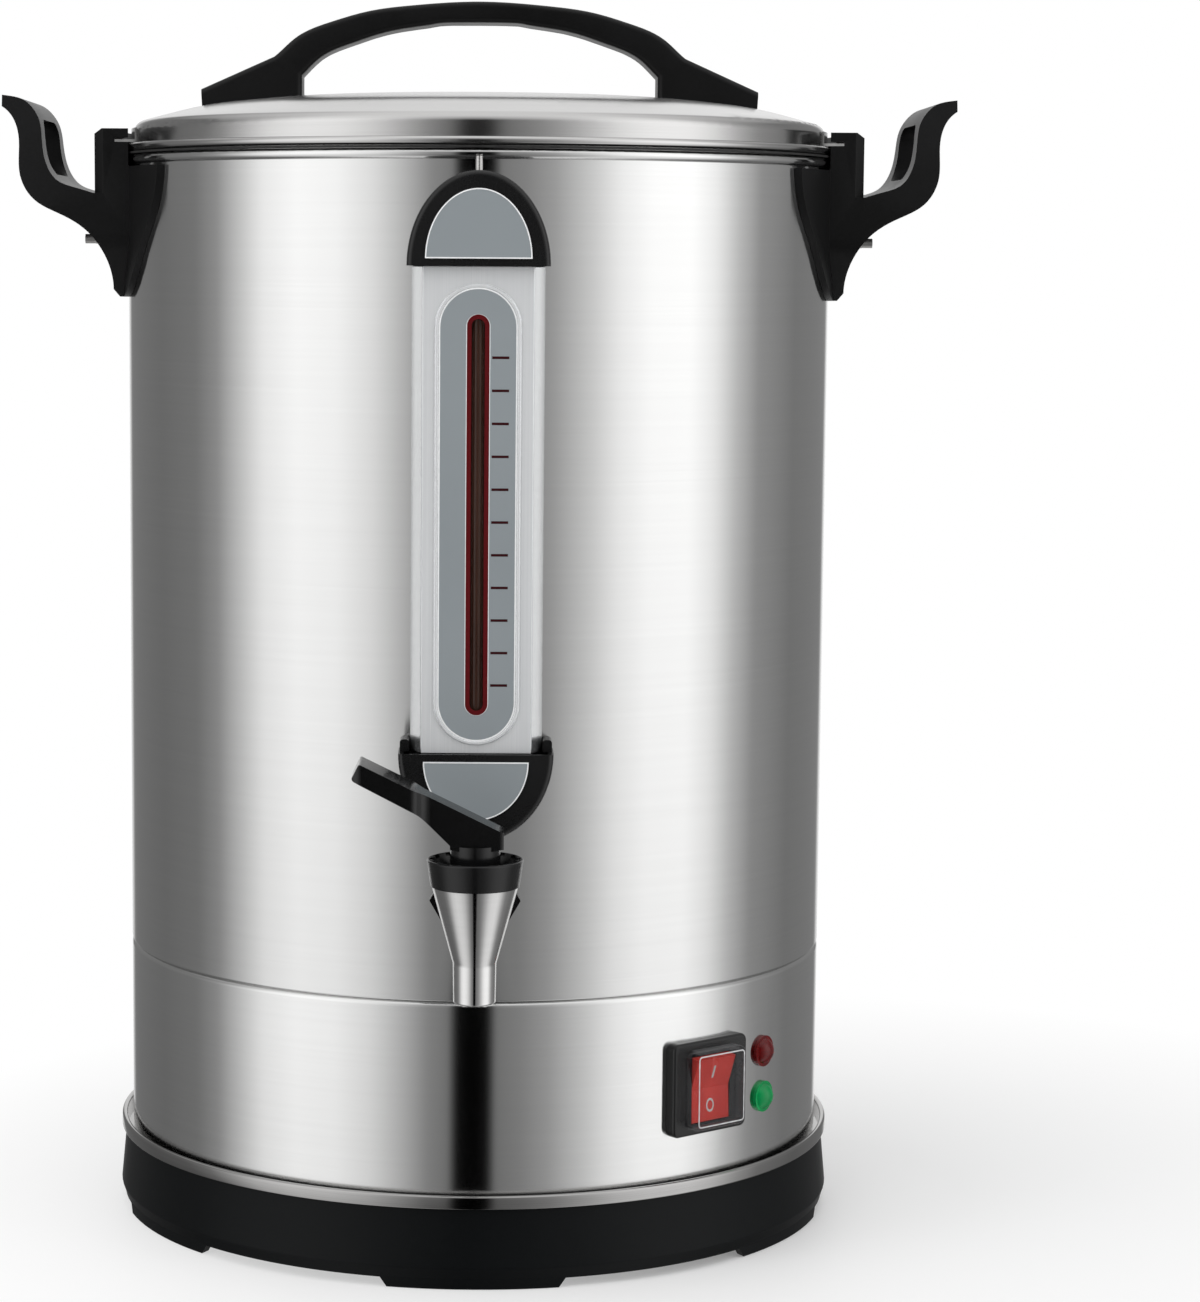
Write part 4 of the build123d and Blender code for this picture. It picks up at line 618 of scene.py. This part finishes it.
slot_low, slot_high, slot_half = 0.2352, 0.3872, 0.0026
line_wide, line_deep, line_proud = 0.0018, 0.0004, 0.00004
foot_middle = slot_low + slot_half    # the level of the middle of the slot's round foot
bpy.ops.mesh.primitive_circle_add(vertices=64, radius=slot_half + line_wide, fill_type="NGON",
                                  location=(0, plate_front - line_proud, foot_middle),
                                  rotation=(math.pi / 2, 0, 0))
border = bpy.context.object
bpy.ops.object.transform_apply(location=True, rotation=True, scale=True)
bpy.ops.object.mode_set(mode="EDIT")
bpy.ops.mesh.select_all(action="SELECT")
bpy.ops.mesh.bisect(plane_co=(0, 0, foot_middle), plane_no=(0, 0, 1))
bpy.ops.mesh.select_all(action="DESELECT")
bpy.ops.object.mode_set(mode="OBJECT")
for corner in border.data.vertices:
    corner.select = corner.co.z > foot_middle + touching
bpy.ops.object.mode_set(mode="EDIT")
bpy.ops.mesh.select_mode(type="VERT")
bpy.ops.transform.translate(value=(0, 0, slot_high - slot_low - 2 * slot_half))
bpy.ops.mesh.select_all(action="SELECT")
bpy.ops.mesh.remove_doubles(threshold=touching)
bpy.ops.mesh.dissolve_limited(angle_limit=0.001)
bpy.ops.mesh.select_mode(type="FACE")
bpy.ops.mesh.select_all(action="SELECT")
bpy.ops.mesh.inset(thickness=line_wide, depth=0)
bpy.ops.mesh.delete(type="FACE")
bpy.ops.mesh.select_all(action="SELECT")
bpy.ops.mesh.extrude_region_move(TRANSFORM_OT_translate={"value": (0, line_deep, 0)})
bpy.ops.object.mode_set(mode="OBJECT")
printed_on(border, "slot_border", dark_red_ink)

# Pale lines raised round the grey plates stand in for light on their cut edges: painted highlights.
painted_edge_highlight, bright_shader, bright_place = finish_named("painted_edge_highlight", {"IOR": 1.5})
highlight_speckle = bright_place.noise(500.0, 3.0)
plate_highlight_tone = highlight_speckle.ramp(0.3, 0.7).between((0.80, 0.81, 0.82, 1), (0.90, 0.905, 0.91, 1))
plate_highlight_tone.feeds(bright_shader, "Base Color")
(highlight_speckle * 0.2 + 0.25).feeds(bright_shader, "Roughness")
for node, name, wide, proud in (("gauge_scale", "plate_edge_highlight", 0.0006, 0.00001),
                                ("gauge_top_insert", "top_insert_edge_highlight", 0.0005, 0.00008),
                                ("gauge_bottom_insert", "bottom_insert_edge_highlight", 0.0005, 0.00008)):
    edge_line(node, name, wide, proud, painted_edge_highlight)

glass, glass_shader, glass_place = finish_named("sight_glass", {"IOR": 1.47, "Transmission Weight": 0.55})
stain = glass_place.stretched((90.0, 90.0, 14.0)).noise(1.0, 3.0)
coffee_tone = stain.ramp(0.3, 0.7).between((0.10, 0.042, 0.028, 1), (0.17, 0.080, 0.055, 1))
coffee_tone.feeds(glass_shader, "Base Color")
(stain * 0.04 + 0.02).feeds(glass_shader, "Roughness")
dress(glass, "gauge_glass")
dress(bolt_steel, "gauge_vent", "gauge_elbow", "gauge_nut")

cap_plastic = black_moulding("cap_plastic", (0.005, 0.005, 0.005, 1), (0.010, 0.010, 0.0105, 1),
                             gloss=0.20, grain_size=0.0010, grain_depth=0.00002, shine=0.4)
dress(cap_plastic, "gauge_top_cap", "gauge_bottom_cap")


# ---------------------------------------------------------------- side handles
# Two moulded handles are bolted through the tank's wall. Each has a finger slot in its grip
# and a hook at the top of its post, which holds the lid's ear down.

handle_plastic = black_moulding("handle_plastic", (0.004, 0.004, 0.004, 1), (0.008, 0.008, 0.0085, 1),
                                gloss=0.30, grain_size=0.0012, grain_depth=0.00002, shine=0.22)
for node, name in (("right_handle", "moulded_handle_right"), ("left_handle", "moulded_handle_left")):
    handle = taken_over(node, name)
    round_over(handle, width=0.0009, least=34)
    fix_on(handle, "urn", handle_plastic)


# ---------------------------------------------------------------- lid
# The lid is pressed from stainless sheet with a rolled edge over a black seal. Its arched
# handle is moulded and held by two screws, and two tabs at its edge turn in under the hooks.

lid_steel = steel("lid_steel", (0.63, 0.625, 0.62, 1), (0.58, 0.575, 0.57, 1),
                  dull=0.15, spread=0.06, grain_depth=0.000002)
lid = taken_over("lid", "pressed_lid")
even_bead(lid, radius=0.1500, level=0.4557, thick=0.0017, first=-166, last=166, steps=28)
fix_on(lid, "lid_assembly", lid_steel)
dress(lid_steel, "lid_ears")

rubber, rubber_shader, rubber_place = finish_named("black_rubber", {"IOR": 1.5})
dust = rubber_place.noise(300.0, 4.0, 0.6)
dust_tone = dust.ramp(0.4, 0.8).between((0.012, 0.012, 0.012, 1), (0.030, 0.030, 0.029, 1))
dust_tone.feeds(rubber_shader, "Base Color")
(dust * 0.15 + 0.55).feeds(rubber_shader, "Roughness")
dust.relief(0.3, 0.00005).feeds(rubber_shader, "Normal")
dress(rubber, "lid_seal")

lid_handle = taken_over("lid_handle", "moulded_lid_handle")
round_over(lid_handle, width=0.0011, least=34)
fix_on(lid_handle, "lid_assembly", handle_plastic)
dress(bolt_steel, "lid_handle_screws")


# ---------------------------------------------------------------- percolator insert
# A stem carries the hot water up to the spreader, which drips it over the grounds in the
# perforated basket. All three are thin stainless pressings.

insert_steel = steel("insert_steel", (0.70, 0.70, 0.69, 1), (0.60, 0.60, 0.59, 1),
                     dull=0.24, spread=0.10, grain_depth=0.000010)
dress(insert_steel, "pump_stem", "coffee_basket", "basket_cover")


# ---------------------------------------------------------------- room
# A pale table that runs on into a white wall. One soft lamp hangs over the urn and one stands
# at each side, and the metal mirrors pale and dark stretches of the wall all round it.

bpy.ops.object.select_all(action="DESELECT")
table_wide, under_the_feet = 12.0, 0.0002
bpy.ops.mesh.primitive_plane_add(size=table_wide, location=(0, 0, -under_the_feet))
floor = bpy.context.object
floor.name = "pale_table"
table_finish, table_shader, table_place = finish_named("pale_table", {"Roughness": 0.55,
                                                                      "Base Color": (0.86, 0.86, 0.86, 1)})
table_tree = table_finish.node_tree
painted = Wire(table_tree, table_shader.outputs[0])
# To the eye the table glows white as painted light, fading towards a spot right of the urn, so it is
# brightest to the left and its shadow shows near the feet.
shadow_middle = (0.12, 0, 0)
from_shadow = table_place.node("VectorMath", {"operation": "SUBTRACT"}, {0: table_place, 1: shadow_middle})
white = painted.node("Emission", {}, {"Color": (1, 1, 1, 1), "Strength": 1.0})
painted_table_glow = from_shadow.length().ramp(0.10, 0.42) * 0.8 + 0.2
seen_by_eye = painted.node("LightPath", {}, {}, "Is Camera Ray")
table_top = painted.node("MixShader", {}, {0: painted_table_glow * seen_by_eye, 1: painted, 2: white})
seen_in_metal = painted.node("LightPath", {}, {}, "Is Glossy Ray")
clear = painted.node("BsdfTransparent")
table_top = painted.node("MixShader", {}, {0: seen_in_metal, 1: table_top, 2: clear})
table_tree.links.new(table_top.socket, table_tree.nodes["Material Output"].inputs[0])
floor.data.materials.append(table_finish)

room = bpy.data.worlds.new("room")
bpy.context.scene.world = room
room.use_nodes = True
room.node_tree.nodes.clear()
air = Wire(room.node_tree)
towards = air.node("TexCoord")
height = towards.part("Z")
turn = towards.part("X").math("ARCTAN2", towards.part("Y") * -1.0)   # 0 towards the front, + to the right
round_the_room = turn * (0.5 / math.pi) + 0.5
# how bright the wall is at each angle, in degrees from the front
wall_light = [(-180, 0.94), (-168, 0.90), (-160, 0.22), (-125, 0.19), (-104, 0.23), (-93, 0.36),
              (-82, 0.76), (-73, 1.14), (-60, 1.33), (-46, 1.26), (-34, 1.00), (-24, 0.64),
              (-15, 0.32), (-8, 0.24), (-6.5, 0.0), (5, 0.0), (7, 0.24), (15, 0.30), (24, 0.44),
              (37, 0.82), (46, 1.16), (57, 1.38), (72, 1.42), (82, 1.16), (92, 0.68), (103, 0.36),
              (125, 0.23), (160, 0.25), (168, 1.00), (180, 0.94)]
wall_stops = [((angle + 180) / 360, (light, light, light, 1)) for angle, light in wall_light]
walls = round_the_room.node("ValToRGB", {"stops": wall_stops}, {0: round_the_room})
ceiling = height.ramp(0.45, 0.95)
lower = height.ramp(0.05, -0.6) * -0.38 + 1.0
surround = ceiling.between(walls, (0.95, 0.95, 0.95, 1)).stretched(lower)
mirrored = air.node("Background", {}, {"Color": surround, "Strength": 1.0})
seen_plain = air.node("Background", {}, {"Color": (1, 1, 1, 1), "Strength": 1.0})
seen_by_eye = air.node("LightPath", {}, {}, "Is Camera Ray")
out = air.node("MixShader", {}, {0: seen_by_eye, 1: mirrored, 2: seen_plain})
end = room.node_tree.nodes.new("ShaderNodeOutputWorld")
room.node_tree.links.new(out.socket, end.inputs[0])


def soft_lamp(name, place, look_at, width, height, power):
    """A wide soft lamp in watts, turned towards a spot, that no metal mirrors."""
    bpy.ops.object.light_add(type="AREA", location=place)
    lamp = bpy.context.object
    lamp.name = name
    lamp.data.shape = "RECTANGLE"
    lamp.data.size = width
    lamp.data.size_y = height
    lamp.data.energy = power
    lamp.rotation_euler = (Vector(look_at) - Vector(place)).to_track_quat("-Z", "Y").to_euler()
    lamp.visible_glossy = False


soft_lamp("lamp_over", (0.1, -0.5, 1.9), (0, 0, 0.3), width=1.6, height=1.2, power=9.0)
soft_lamp("lamp_left", (-1.5, -1.2, 1.0), (0, 0, 0.25), width=0.5, height=1.2, power=5.0)
soft_lamp("lamp_right", (1.6, -0.9, 1.0), (0, 0, 0.25), width=0.5, height=1.2, power=5.0)


# ---------------------------------------------------------------- camera
# It stands a metre and a half in front of the urn, a little under its rim, and looks slightly
# down. The urn stands left of the middle of the frame, so the lens is shifted sideways.

frame_wide, frame_high = 1200, 1302               # pixels
focal_pixels = 3458
axis_pixel_x, axis_pixel_y = 478.8, 667.7         # where the lens looks straight on
looks_down, leans = 0.1183, -0.0060               # radians
bpy.ops.object.camera_add(location=(0, -1.500, 0.411))
camera = bpy.context.object
camera.name = "camera"
camera.data.sensor_fit = "VERTICAL"
camera.data.sensor_height = 36.0
camera.data.lens = focal_pixels / frame_high * camera.data.sensor_height
camera.data.shift_x = (frame_wide / 2 - axis_pixel_x) / frame_high
camera.data.shift_y = (axis_pixel_y - frame_high / 2) / frame_high
camera.rotation_euler = (math.pi / 2 - looks_down, leans, 0)
camera.data.clip_end = 50
bpy.context.scene.camera = camera
bpy.context.scene.view_settings.view_transform = "Standard"
